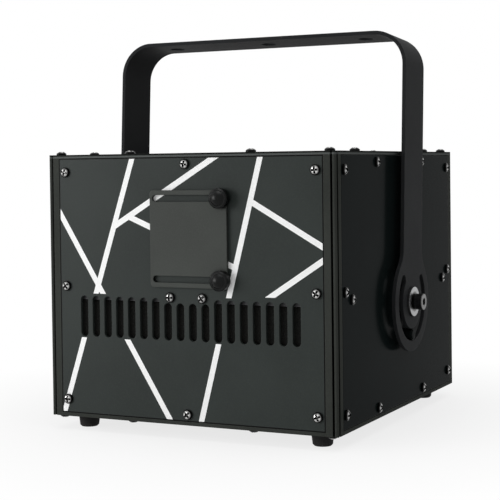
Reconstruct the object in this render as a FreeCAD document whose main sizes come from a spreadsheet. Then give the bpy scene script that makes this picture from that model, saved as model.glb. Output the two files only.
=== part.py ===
import FreeCAD, Part
import math
import os
import re
import Sketcher

# A laser show projector: a sheet-metal box on a tilting yoke, with its lasers, scanner, supply and sockets.
# Millimetres. X runs to the right seen from the front, Y to the back and Z up; the feet stand on Z = 0.

SIZES = {
    # Housing box
    "body_width": 250,
    "body_depth": 274,
    "body_height": 210,
    "cover_thickness": 3,
    "panel_thickness": 3,
    "panel_gap": 0.4,
    # Extruded corner posts and the rails between them
    "post_notch": 4.4,
    "post_flange": 10,
    "post_ledge": 23,
    "post_ledge_depth": 8,
    "post_core": 12,
    "bead_radius": 1.65,
    "bead_inset": 1.75,
    "bead_web": 1.6,
    "rail_size": 11,
    # Feet
    "foot_height": 11,
    "foot_radius": 9,
    "foot_taper": 1.3,
    "foot_edge": 1.2,
    "foot_inset": 21.6,
    "foot_stem_radius": 3,
    "foot_barb": 1.2,
    # Panel screws, M4 pan heads
    "screw_shank": 2,
    "screw_length": 8,
    "screw_head": 4,
    "screw_head_height": 2.9,
    "screw_dome": 1.7,
    "screw_cross_span": 5.4,
    "screw_cross_width": 1.65,
    "screw_cross_depth": 1.4,
    "screw_clearance": 0.25,
    "thread_clearance": 0.05,
    "panel_screw_inset": 16,
    "panel_screw_end": 14,
    "edge_screw_height": 8.5,
    "side_edge_screw_y": 53,
    "cover_screw_inset": 7.5,
    "cover_front_screw_x": 53,
    "cover_side_screw_y": 80,
    # Small screws, M3 pan heads
    "small_shank": 1.5,
    "small_length": 6,
    "small_head": 2.8,
    "small_head_height": 2.2,
    "small_dome": 1.3,
    "small_cross_span": 3.2,
    "small_cross_width": 0.9,
    "small_cross_depth": 1,
    # Optics plate across the middle of the box
    "optics_drop": 115.5,
    "optics_thickness": 8,
    "optics_fit": 0.5,
    "optics_rear_gap": 22,
    "optics_screw_x": 14,
    "optics_screw_inset": 29.5,
    "optics_thread_depth": 9,
    # Air slots in the front panel
    "vent_count": 18,
    "vent_side_margin": 21.95,
    "vent_width": 6.8,
    "vent_length": 32.6,
    "vent_drop": 112.4,
    "vent_short_count": 4,
    "vent_shortening": 3.4,
    # Beam window and the sliding shutter before it
    "window_width": 40,
    "window_height": 46,
    "glass_margin": 6,
    "glass_thickness": 3,
    "shutter_drop": 66,
    "shutter_offset": 3.3,
    "shutter_height": 75,
    "shutter_thickness": 2.5,
    "shutter_corner": 3,
    "shutter_slot_width": 5.3,
    "shutter_slot_spacing": 62.4,
    "shutter_slot_margin": 4.8,
    "shutter_travel": 57,
    "knob_stem": 2,
    "knob_barrel": 7.7,
    "knob_barrel_height": 5,
    "knob_shoulder": 1,
    "knob_dome": 5.8,
    "knob_dome_rise": 3,
    # Yoke, bent from flat bar, and its pivots
    "yoke_strip": 44.5,
    "yoke_thickness": 3,
    "yoke_gap": 5.5,
    "yoke_rise": 221,
    "yoke_bend": 28,
    "yoke_disc": 40.6,
    "yoke_flare": 20,
    "yoke_lean": 3.5,
    "yoke_hole": 6.5,
    "yoke_hole_inset": 43.5,
    "stop_slot_radius": 27.1,
    "stop_slot_width": 10,
    "stop_slot_angle": 39,
    "stop_peg": 4.7,
    "stop_peg_proud": 1,
    "stop_peg_tip": 0.8,
    "pivot_drop": 7.5,
    "pivot_y": 4,
    "pivot_bolt": 4,
    "pivot_running_clearance": 0.08,
    "pivot_head": 6.5,
    "pivot_head_height": 8,
    "pivot_hex": 3.46,
    "pivot_hex_depth": 4,
    "pivot_tail": 2,
    "washer_radius": 12,
    "washer_thickness": 2,
    "spacer_radius": 10,
    "nut_bar_length": 40,
    "nut_bar_height": 14,
    "nut_bar_thickness": 8,
    # Lasers, combining mirrors and scanner on the optics plate
    "laser_length": 92,
    "laser_width": 36,
    "laser_height": 40,
    "laser_pitch": 40,
    "laser_rear_gap": 3,
    "laser_nose": 6,
    "laser_nose_length": 8,
    "laser_side_gap": 16,
    "laser_fin_count": 6,
    "laser_fin_slot": 2.4,
    "laser_fin_depth": 8,
    "beam_height": 25,
    "beam_column_x": 45,
    "mirror_width": 22,
    "mirror_height": 24,
    "mirror_thickness": 3,
    "mount_depth": 20,
    "mount_lip": 4,
    "mount_lip_height": 6,
    "scanner_setback": 42,
    "scanner_wall": 4,
    "scanner_base": 8,
    "scanner_block_length": 18,
    "galvo_radius": 9,
    "galvo_length": 32,
    "galvo_reach": 12,
    "galvo_shaft": 1.5,
    "galvo_shaft_clearance": 0.05,
    "galvo_seat": 0.1,
    "galvo_mirror_thickness": 1.2,
    "galvo_x_mirror_width": 8,
    "galvo_x_mirror_length": 11,
    "galvo_y_mirror_width": 9,
    "galvo_y_mirror_length": 20,
    # Power supply and circuit boards on the base plate
    "supply_width": 90,
    "supply_length": 150,
    "supply_height": 44,
    "supply_side_gap": 18,
    "supply_front_gap": 30,
    "terminal_length": 14,
    "terminal_height": 16,
    "board_width": 70,
    "board_thickness": 1.6,
    "board_side_gap": 19,
    "board_front_gap": 28,
    "board_spacing": 8,
    "driver_board_length": 100,
    "control_board_length": 60,
    "standoff_radius": 3,
    "standoff_height": 8,
    "standoff_inset": 5,
    "heat_sink_height": 26,
    "capacitor_radius": 7,
    "capacitor_height": 22,
    # Fan and its wire guard in the rear panel
    "fan_inset": 67,
    "fan_level": 54.25,
    "fan_size": 80,
    "fan_depth": 20,
    "fan_corner": 4,
    "fan_bore": 38.5,
    "fan_hole_spacing": 71.5,
    "fan_hub": 16,
    "fan_seat_depth": 4,
    "fan_strut": 5,
    "fan_tip_gap": 1.5,
    "fan_end_gap": 1,
    "fan_blade_count": 7,
    "fan_blade_chord": 17,
    "fan_blade_thickness": 1.6,
    "fan_blade_pitch": 42,
    "fan_shaft": 1.5,
    "fan_shaft_clearance": 0.05,
    "guard_wire": 1,
    "guard_ring_count": 4,
    "guard_ring_pitch": 9,
    "guard_lug": 4.6,
    # Mains inlet with its rocker switch
    "inlet_inset": 45,
    "inlet_level": 50,
    "inlet_flange_width": 34,
    "inlet_flange_height": 62,
    "inlet_flange": 2.5,
    "inlet_body_width": 28,
    "inlet_body_height": 46,
    "inlet_depth": 24,
    "inlet_mouth_width": 24.4,
    "inlet_mouth_height": 17,
    "inlet_mouth_chamfer": 5,
    "inlet_mouth_depth": 17,
    "inlet_mouth_drop": 11.5,
    "inlet_pin_width": 2,
    "inlet_pin_height": 4,
    "inlet_pin_length": 13,
    "inlet_pin_pitch": 7,
    "inlet_screw_spacing": 54,
    "cutout_clearance": 0.3,
    "rocker_width": 18.4,
    "rocker_height": 11.4,
    "rocker_recess_width": 19.4,
    "rocker_recess_height": 14.4,
    "rocker_recess_depth": 9,
    "rocker_rise": 11.5,
    "rocker_axis_depth": 2.5,
    "rocker_proud": 3.4,
    "rocker_hollow": 1.6,
    "rocker_tail": 3.5,
    "rocker_tilt": 10,
    "rocker_pin": 1.2,
    "rocker_pin_length": 1.5,
    "rocker_pin_clearance": 0.06,
    # Key switch
    "key_inset": 45,
    "key_level": 110,
    "key_collar": 8.5,
    "key_collar_height": 3,
    "key_barrel": 6,
    "key_barrel_depth": 20,
    "key_nut": 9,
    "key_nut_thickness": 3,
    "key_plug": 4.5,
    "key_plug_clearance": 0.06,
    "key_bow": 6.6,
    "key_thickness": 2.2,
    "key_blade": 7,
    "key_blade_length": 5,
    "key_ring_hole": 2.4,
    # Signal sockets
    "socket_fan_gap": 7,
    "socket_in_level": 76,
    "socket_out_level": 40,
    "socket_flange_width": 26,
    "socket_flange_height": 31,
    "socket_flange": 2,
    "socket_corner": 3,
    "socket_shell": 11.7,
    "socket_depth": 24,
    "socket_cup": 9.8,
    "socket_cup_depth": 20,
    "socket_pin": 1.2,
    "socket_pin_length": 14,
    "socket_pin_circle": 5,
    "socket_plug_gap": 1.4,
    "socket_screw_x": 9.5,
    "socket_screw_z": 12,
    "data_level": 113,
    "data_flange_width": 53,
    "data_flange_height": 12.5,
    "data_flange": 1.2,
    "data_shell_width": 38.6,
    "data_shell_height": 8,
    "data_shell_slope": 1.4,
    "data_shell_reach": 5.5,
    "data_depth": 10,
    "data_screw_spacing": 47,
    # Menu unit with its display and four buttons
    "menu_drop": 32,
    "menu_width": 100,
    "menu_height": 34,
    "menu_bezel": 2,
    "menu_corner": 3,
    "menu_box_width": 84,
    "menu_box_height": 26,
    "menu_box_depth": 10,
    "menu_screw_spacing": 92,
    "display_x": 16,
    "display_width": 46,
    "display_height": 18,
    "display_recess": 0.8,
    "button_radius": 3.5,
    "button_clearance": 0.15,
    "button_x": -24,
    "button_pitch": 12,
    "button_proud": 2.4,
    "button_stroke": 1.2,
    "button_end_gap": 0.4,
    "button_depth": 8,
}

doc = FreeCAD.newDocument("laser_show_projector")
sheet = doc.addObject("Spreadsheet::Sheet", "Sizes")
for row, (size_name, size_value) in enumerate(SIZES.items(), 1):
    sheet.set(f"A{row}", size_name.replace("_", " "))
    sheet.set(f"B{row}", str(size_value))
    sheet.setAlias(f"B{row}", size_name)
doc.recompute()

nodes = []

# Main planes of the box, as formulas in the sheet's names
HALF_WIDTH = "(body_width / 2)"
HALF_DEPTH = "(body_depth / 2)"
INNER_X = "(body_width / 2 - panel_thickness)"
INNER_Y = "(body_depth / 2 - panel_thickness)"
FLOOR = "foot_height"
BASE_TOP = "(foot_height + cover_thickness)"
MIDDLE = "(foot_height + body_height / 2)"
COVER_UNDER = "(foot_height + body_height - cover_thickness)"
ROOF = "(foot_height + body_height)"
PLATE_UNDER = "(foot_height + body_height - optics_drop)"
PLATE_MIDDLE = f"({PLATE_UNDER} + optics_thickness / 2)"
PLATE_TOP = f"({PLATE_UNDER} + optics_thickness)"
PIVOT_Z = f"({PLATE_UNDER} - pivot_drop)"
PLANE_OF_AXIS = {"x": "YZ_Plane", "y": "XZ_Plane", "z": "XY_Plane"}
TURN_TO_AXIS = {
    "x": FreeCAD.Rotation(FreeCAD.Vector(0, 1, 0), 90),
    "y": FreeCAD.Rotation(FreeCAD.Vector(1, 0, 0), -90),
    "z": FreeCAD.Rotation(),
}
TURN_TO_FACE = {
    "right": FreeCAD.Rotation(FreeCAD.Vector(0, 1, 0), 90),
    "left": FreeCAD.Rotation(FreeCAD.Vector(0, 1, 0), -90),
    "front": FreeCAD.Rotation(FreeCAD.Vector(1, 0, 0), 90),
    "rear": FreeCAD.Rotation(FreeCAD.Vector(1, 0, 0), -90),
    "up": FreeCAD.Rotation(),
    "down": FreeCAD.Rotation(FreeCAD.Vector(1, 0, 0), 180),
}


def on_sheet(text):
    """Turn a formula in plain size names into one that reads the sheet's cells."""
    return re.sub(r"[a-z]\w*", lambda word: f"Sizes.{word[0]}" if word[0] in SIZES else word[0], str(text))


def amount(text):
    """The present value of a formula."""
    return float(FreeCAD.Units.Quantity(sheet.evalExpression(on_sheet(text))).Value)


def bind(item, prop, text):
    """Tie one property of an object to a formula."""
    item.setExpression(prop, on_sheet(text))


def move_to(item, x, y, z):
    """Tie an object's place to three formulas."""
    for axis, text in zip("xyz", (x, y, z)):
        bind(item, f"Placement.Base.{axis}", text)


def as_node(item, label):
    """Hand an object in as a piece of the projector, under its own label."""
    item.Label = label
    nodes.append(item)


def mirrored_span(sign, inner, outer):
    """The low and high end of a stretch on the positive side, or of its mirror image."""
    if sign > 0:
        return inner, outer
    return f"-({outer})", f"-({inner})"


def centred(middle, size):
    """The low and high end of a stretch of a given size about its middle."""
    return f"{middle} - ({size}) / 2", f"{middle} + ({size}) / 2"


def block(name, x, y, z):
    """A block between a low and a high formula along each axis."""
    item = doc.addObject("Part::Box", name)
    for prop, axis, (low, high) in zip(("Length", "Width", "Height"), "xyz", (x, y, z)):
        bind(item, prop, f"({high}) - ({low})")
        bind(item, f"Placement.Base.{axis}", low)
    return item


def rod(name, axis, x, y, z, radius):
    """A round bar along one axis, whose coordinate there is a low and a high formula."""
    item = doc.addObject("Part::Cylinder", name)
    item.Placement = FreeCAD.Placement(FreeCAD.Vector(), TURN_TO_AXIS[axis])
    place = {"x": x, "y": y, "z": z}
    low, high = place[axis]
    place[axis] = low
    bind(item, "Radius", radius)
    bind(item, "Height", f"({high}) - ({low})")
    move_to(item, place["x"], place["y"], place["z"])
    return item


def fused(name, pieces):
    """Several overlapping shapes as one."""
    item = doc.addObject("Part::MultiFuse", name)
    item.Shapes = pieces
    return item


def gathered(name, pieces):
    """Several separate solids in one group."""
    item = doc.addObject("Part::Compound", name)
    item.Links = pieces
    return item


def cut(name, base, tools):
    """A shape with others taken out of it."""
    item = doc.addObject("Part::Cut", name)
    item.Base = base
    item.Tool = tools[0] if len(tools) == 1 else fused(f"{name}_tools", tools)
    return item


def turned(name, item, axis, angle, x, y, z):
    """A shape modelled about the origin, turned about one axis and set in its place."""
    group = gathered(name, [item])
    group.Placement = FreeCAD.Placement(FreeCAD.Vector(), FreeCAD.Rotation(FreeCAD.Vector(*axis), 1))
    bind(group, "Placement.Rotation.Angle", angle)
    move_to(group, x, y, z)
    return group


def copied(name, master, turn, x, y, z):
    """A copy of a master piece, turned and set in its place."""
    item = doc.addObject("App::Link", name)
    item.LinkedObject = master
    item.Placement = FreeCAD.Placement(FreeCAD.Vector(), turn)
    move_to(item, x, y, z)
    return item


def new_sketch(body, name, axis, level):
    """A sketch across one axis of a body, at a level along that axis."""
    sketch = body.newObject("Sketcher::SketchObject", name)
    plane = next(item for item in body.Origin.OriginFeatures if item.Role == PLANE_OF_AXIS[axis])
    sketch.AttachmentSupport = [(plane, "")]
    sketch.MapMode = "FlatFace"
    bind(sketch, "AttachmentOffset.Base.z", f"-({level})" if axis == "y" else level)
    return sketch


def add_pad(body, name, axis, low, high):
    """A pad that fills its sketch's outline from a low to a high level along an axis."""
    sketch = new_sketch(body, f"{name}_sketch", axis, low)
    pad = body.newObject("PartDesign::Pad", f"{name}_pad")
    pad.Profile = sketch
    pad.Reversed = axis == "y"
    bind(pad, "Length", f"({high}) - ({low})")
    return sketch


def add_pocket(body, name, axis, level):
    """A pocket that cuts its sketch's outline right through, downwards from a level along an axis."""
    sketch = new_sketch(body, f"{name}_sketch", axis, level)
    pocket = body.newObject("PartDesign::Pocket", f"{name}_pocket")
    pocket.Profile = sketch
    pocket.Type = "ThroughAll"
    pocket.Reversed = axis == "y"
    return sketch


def flat_piece(name, axis, low, high):
    """A body of one pad, and the sketch that its outline and openings are drawn in."""
    body = doc.addObject("PartDesign::Body", name)
    return body, add_pad(body, name, axis, low, high)


def constrain(sketch, *entries):
    """Add constraints, each a constraint and the formula that it follows or None."""
    numbers = sketch.addConstraint([constraint for constraint, _ in entries])
    for number, (_, text) in zip(numbers, entries):
        if text is not None:
            bind(sketch, f"Constraints[{number}]", text)


def fixed_point(geometry, point, across, up):
    """Two constraints that hold a point of a sketch at two formulas from its origin."""
    return [
        (Sketcher.Constraint("DistanceX", -1, 1, geometry, point, amount(across)), across),
        (Sketcher.Constraint("DistanceY", -1, 1, geometry, point, amount(up)), up),
    ]


def draw_circle(sketch, across, up, radius):
    """A full circle at two formulas from the sketch's origin."""
    centre = FreeCAD.Vector(amount(across), amount(up), 0)
    number = sketch.addGeometry(Part.Circle(centre, FreeCAD.Vector(0, 0, 1), amount(radius)))
    hold_radius = (Sketcher.Constraint("Radius", number, amount(radius)), radius)
    constrain(sketch, hold_radius, *fixed_point(number, 3, across, up))


def draw_arc(sketch, centre, radius, first, last):
    """An arc, counter-clockwise between two angles in degrees; returns its number in the sketch."""
    circle = Part.Circle(FreeCAD.Vector(*centre, 0), FreeCAD.Vector(0, 0, 1), radius)
    return sketch.addGeometry(Part.ArcOfCircle(circle, math.radians(first), math.radians(last)))


def draw_outline(sketch, corners):
    """A closed outline. A corner is (across, up), or (across, up, radius) between square-on edges."""
    points = [FreeCAD.Vector(amount(corner[0]), amount(corner[1]), 0) for corner in corners]
    arrivals = list(points)
    departures = list(points)
    arcs = {}
    for index, corner in enumerate(corners):
        if len(corner) == 2:
            continue
        radius = amount(corner[2])
        back = (points[index - 1] - points[index]).normalize()
        onward = (points[(index + 1) % len(points)] - points[index]).normalize()
        arrivals[index] = points[index] + back * radius
        departures[index] = points[index] + onward * radius
        inward = back + onward
        centre = points[index] + inward * radius
        first = math.degrees(math.atan2(*(arrivals[index] - centre)[1::-1]))
        last = math.degrees(math.atan2(*(departures[index] - centre)[1::-1]))
        counter_clockwise = back.cross(onward).z < 0
        ends = (first, last) if counter_clockwise else (last, first)
        sweep_end = ends[1] + (360 if ends[1] < ends[0] else 0)
        number = draw_arc(sketch, (centre.x, centre.y), radius, ends[0], sweep_end)
        arcs[index] = (number, (1, 2) if counter_clockwise else (2, 1), inward)
    lines = []
    for index in range(len(points)):
        line = Part.LineSegment(departures[index], arrivals[(index + 1) % len(points)])
        lines.append(sketch.addGeometry(line))
    entries = []
    for index, corner in enumerate(corners):
        before, after = lines[index - 1], lines[index]
        if index not in arcs:
            entries.append((Sketcher.Constraint("Coincident", before, 2, after, 1), None))
            entries.extend(fixed_point(after, 1, corner[0], corner[1]))
            continue
        number, (start, end), inward = arcs[index]
        entries.append((Sketcher.Constraint("Tangent", before, 2, number, start), None))
        entries.append((Sketcher.Constraint("Tangent", number, end, after, 1), None))
        entries.append((Sketcher.Constraint("Radius", number, amount(corner[2])), corner[2]))
        across = f"{corner[0]} + ({round(inward.x)}) * ({corner[2]})"
        up = f"{corner[1]} + ({round(inward.y)}) * ({corner[2]})"
        entries.extend(fixed_point(number, 3, across, up))
    constrain(sketch, *entries)


def draw_rectangle(sketch, across, up, radius=None):
    """A rectangle between two low and high formulas, with rounded corners if a radius is given."""
    rounding = () if radius is None else (radius,)
    sides = [(across[0], up[0]), (across[1], up[0]), (across[1], up[1]), (across[0], up[1])]
    draw_outline(sketch, [corner + rounding for corner in sides])


def draw_slot(sketch, across, up, width):
    """A slot with round ends: one of across and up is its low and high end, the other its middle."""
    level = isinstance(across, tuple)
    half = f"({width}) / 2"
    if level:
        low, high = (f"{across[0]} + {half}", up), (f"{across[1]} - {half}", up)
    else:
        low, high = (across, f"{up[0]} + {half}"), (across, f"{up[1]} - {half}")
    first = FreeCAD.Vector(amount(low[0]), amount(low[1]), 0)
    second = FreeCAD.Vector(amount(high[0]), amount(high[1]), 0)
    radius = amount(half)
    along = (second - first).normalize()
    side = FreeCAD.Vector(-along.y, along.x, 0) * radius
    turn = math.degrees(math.atan2(along.y, along.x))
    start = draw_arc(sketch, (first.x, first.y), radius, turn + 90, turn + 270)
    end = draw_arc(sketch, (second.x, second.y), radius, turn - 90, turn + 90)
    lower = sketch.addGeometry(Part.LineSegment(first - side, second - side))
    upper = sketch.addGeometry(Part.LineSegment(second + side, first + side))
    entries = [
        (Sketcher.Constraint("Tangent", start, 2, lower, 1), None),
        (Sketcher.Constraint("Tangent", lower, 2, end, 1), None),
        (Sketcher.Constraint("Tangent", end, 2, upper, 1), None),
        (Sketcher.Constraint("Tangent", upper, 2, start, 1), None),
        (Sketcher.Constraint("Radius", start, radius), half),
        (Sketcher.Constraint("Radius", end, radius), half),
    ]
    constrain(sketch, *entries, *fixed_point(start, 3, *low), *fixed_point(end, 3, *high))


def pan_screw(name, kind):
    """A pan-head cross-recess screw, its head standing on Z = 0 and its shank below."""
    shank = rod(f"{name}_shank", "z", "0", "0", (f"-{kind}_length", "0"), f"{kind}_shank")
    drum = rod(f"{name}_drum", "z", "0", "0", ("0", f"{kind}_head_height"), f"{kind}_head")
    dome = doc.addObject("Part::Sphere", f"{name}_dome")
    dome_radius = f"({kind}_head ^ 2 + {kind}_dome ^ 2) / (2 * {kind}_dome)"
    bind(dome, "Radius", dome_radius)
    bind(dome, "Placement.Base.z", f"{kind}_head_height - {dome_radius}")
    head = doc.addObject("Part::Common", f"{name}_head")
    head.Base = drum
    head.Tool = dome
    long_side = centred("0", f"{kind}_cross_span")
    short_side = centred("0", f"{kind}_cross_width")
    depth = (f"{kind}_head_height - {kind}_cross_depth", f"{kind}_head_height + {kind}_cross_depth")
    cross = [
        block(f"{name}_cross_a", long_side, short_side, depth),
        block(f"{name}_cross_b", short_side, long_side, depth),
    ]
    return cut(name, fused(f"{name}_blank", [shank, head]), cross)


def driven(label, master, places):
    """A group of like screws, each at a place (facing, x, y, z) and turned as it came to be driven home."""
    screws = []
    for index, (facing, x, y, z) in enumerate(places):
        home_turn = FreeCAD.Rotation(FreeCAD.Vector(0, 0, 1), 37 * index)
        turn = TURN_TO_FACE[facing].multiply(home_turn)
        screws.append(copied(f"{label}_{index}", master, turn, x, y, z))
    as_node(gathered(f"{label}_group", screws), label)


SIDES = (-1, 1)
CORNERS = ((-1, -1), (1, -1), (1, 1), (-1, 1))
SCREW_HOLE = "(screw_shank + screw_clearance)"
SCREW_THREAD = "(screw_shank + thread_clearance)"
SMALL_THREAD = "(small_shank + thread_clearance)"
PANEL_SCREW_LEVELS = (f"{FLOOR} + panel_screw_end", MIDDLE, f"{ROOF} - panel_screw_end")
EDGE_SCREW_LEVELS = (f"{FLOOR} + edge_screw_height", f"{ROOF} - edge_screw_height")
POST_SCREW_X = f"({HALF_WIDTH} - panel_screw_inset)"
POST_SCREW_Y = f"({HALF_DEPTH} - panel_screw_inset)"

# Where the front and rear panels are screwed on, as (x, z), and the side panels, as (y, z)
end_panel_screws = [(f"{side} * {POST_SCREW_X}", level) for side in SIDES for level in PANEL_SCREW_LEVELS]
end_panel_screws += [("0", level) for level in EDGE_SCREW_LEVELS]
side_panel_screws = [(f"{side} * {POST_SCREW_Y}", level) for side in SIDES for level in PANEL_SCREW_LEVELS]
side_panel_screws += [(f"{side} * side_edge_screw_y", level) for side in SIDES for level in EDGE_SCREW_LEVELS]
optics_front_screws = [(f"{side} * optics_screw_x", PLATE_MIDDLE) for side in SIDES]
optics_side_screws = [
    (f"{side} * ({HALF_DEPTH} - optics_screw_inset)", PLATE_MIDDLE)
    for side in SIDES
]

# Where the top cover and the base plate are screwed to the posts and the rails, as (x, y)
COVER_SCREW_X = f"({HALF_WIDTH} - cover_screw_inset)"
COVER_SCREW_Y = f"({HALF_DEPTH} - cover_screw_inset)"
post_cover_screws = [(f"{sx} * {COVER_SCREW_X}", f"{sy} * {COVER_SCREW_Y}") for sx, sy in CORNERS]
end_rail_cover_screws = [(f"{sx} * cover_front_screw_x", f"{sy} * {COVER_SCREW_Y}") for sx, sy in CORNERS]
side_rail_cover_screws = [(f"{sx} * {COVER_SCREW_X}", f"{sy} * cover_side_screw_y") for sx, sy in CORNERS]
cover_screws = post_cover_screws + end_rail_cover_screws + side_rail_cover_screws
foot_places = [
    (f"{sx} * ({HALF_WIDTH} - foot_inset)", f"{sy} * ({HALF_DEPTH} - foot_inset)")
    for sx, sy in CORNERS
]

panel_screw = pan_screw("panel_screw", "screw")
small_screw = pan_screw("small_screw", "small")


def corner_bead(name, sx, sy, low, high):
    """The round bead in a corner's notch, and the web that ties it to the metal behind."""
    x = f"{sx} * ({HALF_WIDTH} - bead_inset)"
    y = f"{sy} * ({HALF_DEPTH} - bead_inset)"
    bead = rod(f"{name}_bead", "z", x, y, (low, high), "bead_radius")
    web = doc.addObject("Part::Box", f"{name}_web")
    angle = math.degrees(math.atan2(-sy, -sx))
    web.Placement = FreeCAD.Placement(FreeCAD.Vector(), FreeCAD.Rotation(FreeCAD.Vector(0, 0, 1), angle))
    bind(web, "Length", "(post_notch + bead_web - bead_inset) * sqrt(2)")
    bind(web, "Width", "bead_web")
    bind(web, "Height", f"({high}) - ({low})")
    move_to(web, f"{x} + sin({angle}) * bead_web / 2", f"{y} - cos({angle}) * bead_web / 2", low)
    return [bead, web]


def notched_corners():
    """The outline of the box seen from above, with a square notch at each corner."""
    corners = []
    for sx, sy in CORNERS:
        edge_x = f"{sx} * {HALF_WIDTH}"
        edge_y = f"{sy} * {HALF_DEPTH}"
        notch_x = f"{sx} * ({HALF_WIDTH} - post_notch)"
        notch_y = f"{sy} * ({HALF_DEPTH} - post_notch)"
        steps = [(notch_x, edge_y), (notch_x, notch_y), (edge_x, notch_y)]
        corners += steps if sx * sy < 0 else reversed(steps)
    return corners


def cover(label, low, high, extra_holes):
    """A flat cover over the posts' ends, with a bead in each corner notch and its screw holes."""
    plate, sketch = flat_piece(f"{label}_sheet", "z", low, high)
    draw_outline(sketch, notched_corners())
    for x, y in cover_screws:
        draw_circle(sketch, x, y, SCREW_HOLE)
    for x, y, radius in extra_holes:
        draw_circle(sketch, x, y, radius)
    beads = []
    for index, (sx, sy) in enumerate(CORNERS):
        beads += corner_bead(f"{label}_{index}", sx, sy, low, high)
    as_node(fused(f"{label}_whole", [plate] + beads), label)


# Base plate, with a hole for each foot's stem, and top cover
cover("base_plate", FLOOR, BASE_TOP, [(x, y, "foot_stem_radius + thread_clearance") for x, y in foot_places])
cover("top_cover", COVER_UNDER, ROOF, [])

# Rubber feet, pushed through the base plate with a barbed stem
foot_parts = []
foot_cones = (
    ("foot_edge_cone", "0", "foot_edge", "foot_radius - foot_taper - foot_edge", "foot_radius - foot_taper"),
    ("foot_cone", "foot_edge", "foot_height", "foot_radius - foot_taper", "foot_radius"),
)
for cone_name, cone_low, cone_high, low_radius, high_radius in foot_cones:
    cone = doc.addObject("Part::Cone", cone_name)
    bind(cone, "Radius1", low_radius)
    bind(cone, "Radius2", high_radius)
    bind(cone, "Height", f"{cone_high} - {cone_low}")
    bind(cone, "Placement.Base.z", cone_low)
    foot_parts.append(cone)
barb_low = BASE_TOP
barb_high = f"{BASE_TOP} + 2 * foot_barb"
foot_parts.append(rod("foot_stem", "z", "0", "0", ("foot_height - foot_edge", barb_high), "foot_stem_radius"))
foot_parts.append(rod("foot_barb_disc", "z", "0", "0", (barb_low, barb_high), "foot_stem_radius + foot_barb"))
foot = fused("foot", foot_parts)
feet = []
for index, (x, y) in enumerate(foot_places):
    feet.append(copied(f"foot_{index}", foot, FreeCAD.Rotation(), x, y, "0"))
as_node(gathered("feet", feet), "rubber_feet")

# Corner posts, extruded with a flange beside each panel, a ledge behind it and a screw channel
POST_OUTLINE = (
    ("post_notch", "0"),
    ("post_flange", "0"),
    ("post_flange", "panel_thickness"),
    ("post_ledge", "panel_thickness"),
    ("post_ledge", "post_ledge_depth"),
    ("post_core", "post_ledge_depth"),
    ("post_core", "post_core"),
    ("post_ledge_depth", "post_core"),
    ("post_ledge_depth", "post_ledge"),
    ("panel_thickness", "post_ledge"),
    ("panel_thickness", "post_flange"),
    ("0", "post_flange"),
    ("0", "post_notch"),
    ("post_notch", "post_notch"),
)
LEDGE_X = (f"{HALF_WIDTH} - post_ledge_depth", INNER_X)
LEDGE_Y = (f"{HALF_DEPTH} - post_ledge_depth", INNER_Y)
for sx, sy in CORNERS:
    post_label = f"corner_post_{'front' if sy < 0 else 'rear'}_{'left' if sx < 0 else 'right'}"
    post, post_sketch = flat_piece(f"{post_label}_bar", "z", BASE_TOP, COVER_UNDER)
    draw_outline(post_sketch, [
        (f"{sx} * ({HALF_WIDTH} - {inset_x})", f"{sy} * ({HALF_DEPTH} - {inset_y})")
        for inset_x, inset_y in POST_OUTLINE
    ])
    draw_circle(post_sketch, f"{sx} * {COVER_SCREW_X}", f"{sy} * {COVER_SCREW_Y}", SCREW_THREAD)
    threads = []
    for index, level in enumerate(PANEL_SCREW_LEVELS):
        across_x = f"{sx} * {POST_SCREW_X}"
        across_y = f"{sy} * {POST_SCREW_Y}"
        reach_y = mirrored_span(sy, *LEDGE_Y)
        reach_x = mirrored_span(sx, *LEDGE_X)
        threads.append(rod(f"{post_label}_end_thread_{index}", "y", across_x, reach_y, level, SCREW_THREAD))
        threads.append(rod(f"{post_label}_side_thread_{index}", "x", reach_x, across_y, level, SCREW_THREAD))
    beaded = fused(f"{post_label}_beaded", [post] + corner_bead(post_label, sx, sy, BASE_TOP, COVER_UNDER))
    as_node(cut(f"{post_label}_drilled", beaded, threads), post_label)

# Square rails between the posts, which the covers' and the panels' middle screws go into
BASE_RAIL = (BASE_TOP, f"{BASE_TOP} + rail_size")
ROOF_RAIL = (f"{COVER_UNDER} - rail_size", COVER_UNDER)
rails = []
for rail_index, (rail_level, screw_level) in enumerate(zip((BASE_RAIL, ROOF_RAIL), EDGE_SCREW_LEVELS)):
    for side in SIDES:
        rail_name = f"end_rail_{rail_index}_{'rear' if side > 0 else 'front'}"
        depth = mirrored_span(side, f"{INNER_Y} - rail_size", INNER_Y)
        rail = block(rail_name, centred("0", f"2 * ({HALF_WIDTH} - post_ledge)"), depth, rail_level)
        threads = [rod(f"{rail_name}_thread", "y", "0", depth, screw_level, SCREW_THREAD)]
        for index, (x, y) in enumerate(end_rail_cover_screws[:2]):
            across = f"{side} * {COVER_SCREW_Y}"
            threads.append(rod(f"{rail_name}_thread_{index}", "z", x, across, rail_level, SCREW_THREAD))
        rails.append(cut(f"{rail_name}_drilled", rail, threads))

        rail_name = f"side_rail_{rail_index}_{'right' if side > 0 else 'left'}"
        depth = mirrored_span(side, f"{INNER_X} - rail_size", INNER_X)
        rail = block(rail_name, depth, centred("0", f"2 * ({HALF_DEPTH} - post_ledge)"), rail_level)
        threads = []
        for index, end in enumerate(SIDES):
            cover_y = f"{end} * cover_side_screw_y"
            panel_y = f"{end} * side_edge_screw_y"
            across = f"{side} * {COVER_SCREW_X}"
            threads.append(rod(f"{rail_name}_thread_{index}", "z", across, cover_y, rail_level, SCREW_THREAD))
            threads.append(rod(f"{rail_name}_cross_{index}", "x", depth, panel_y, screw_level, SCREW_THREAD))
        rails.append(cut(f"{rail_name}_drilled", rail, threads))
as_node(gathered("rails", rails), "frame_rails")

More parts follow.
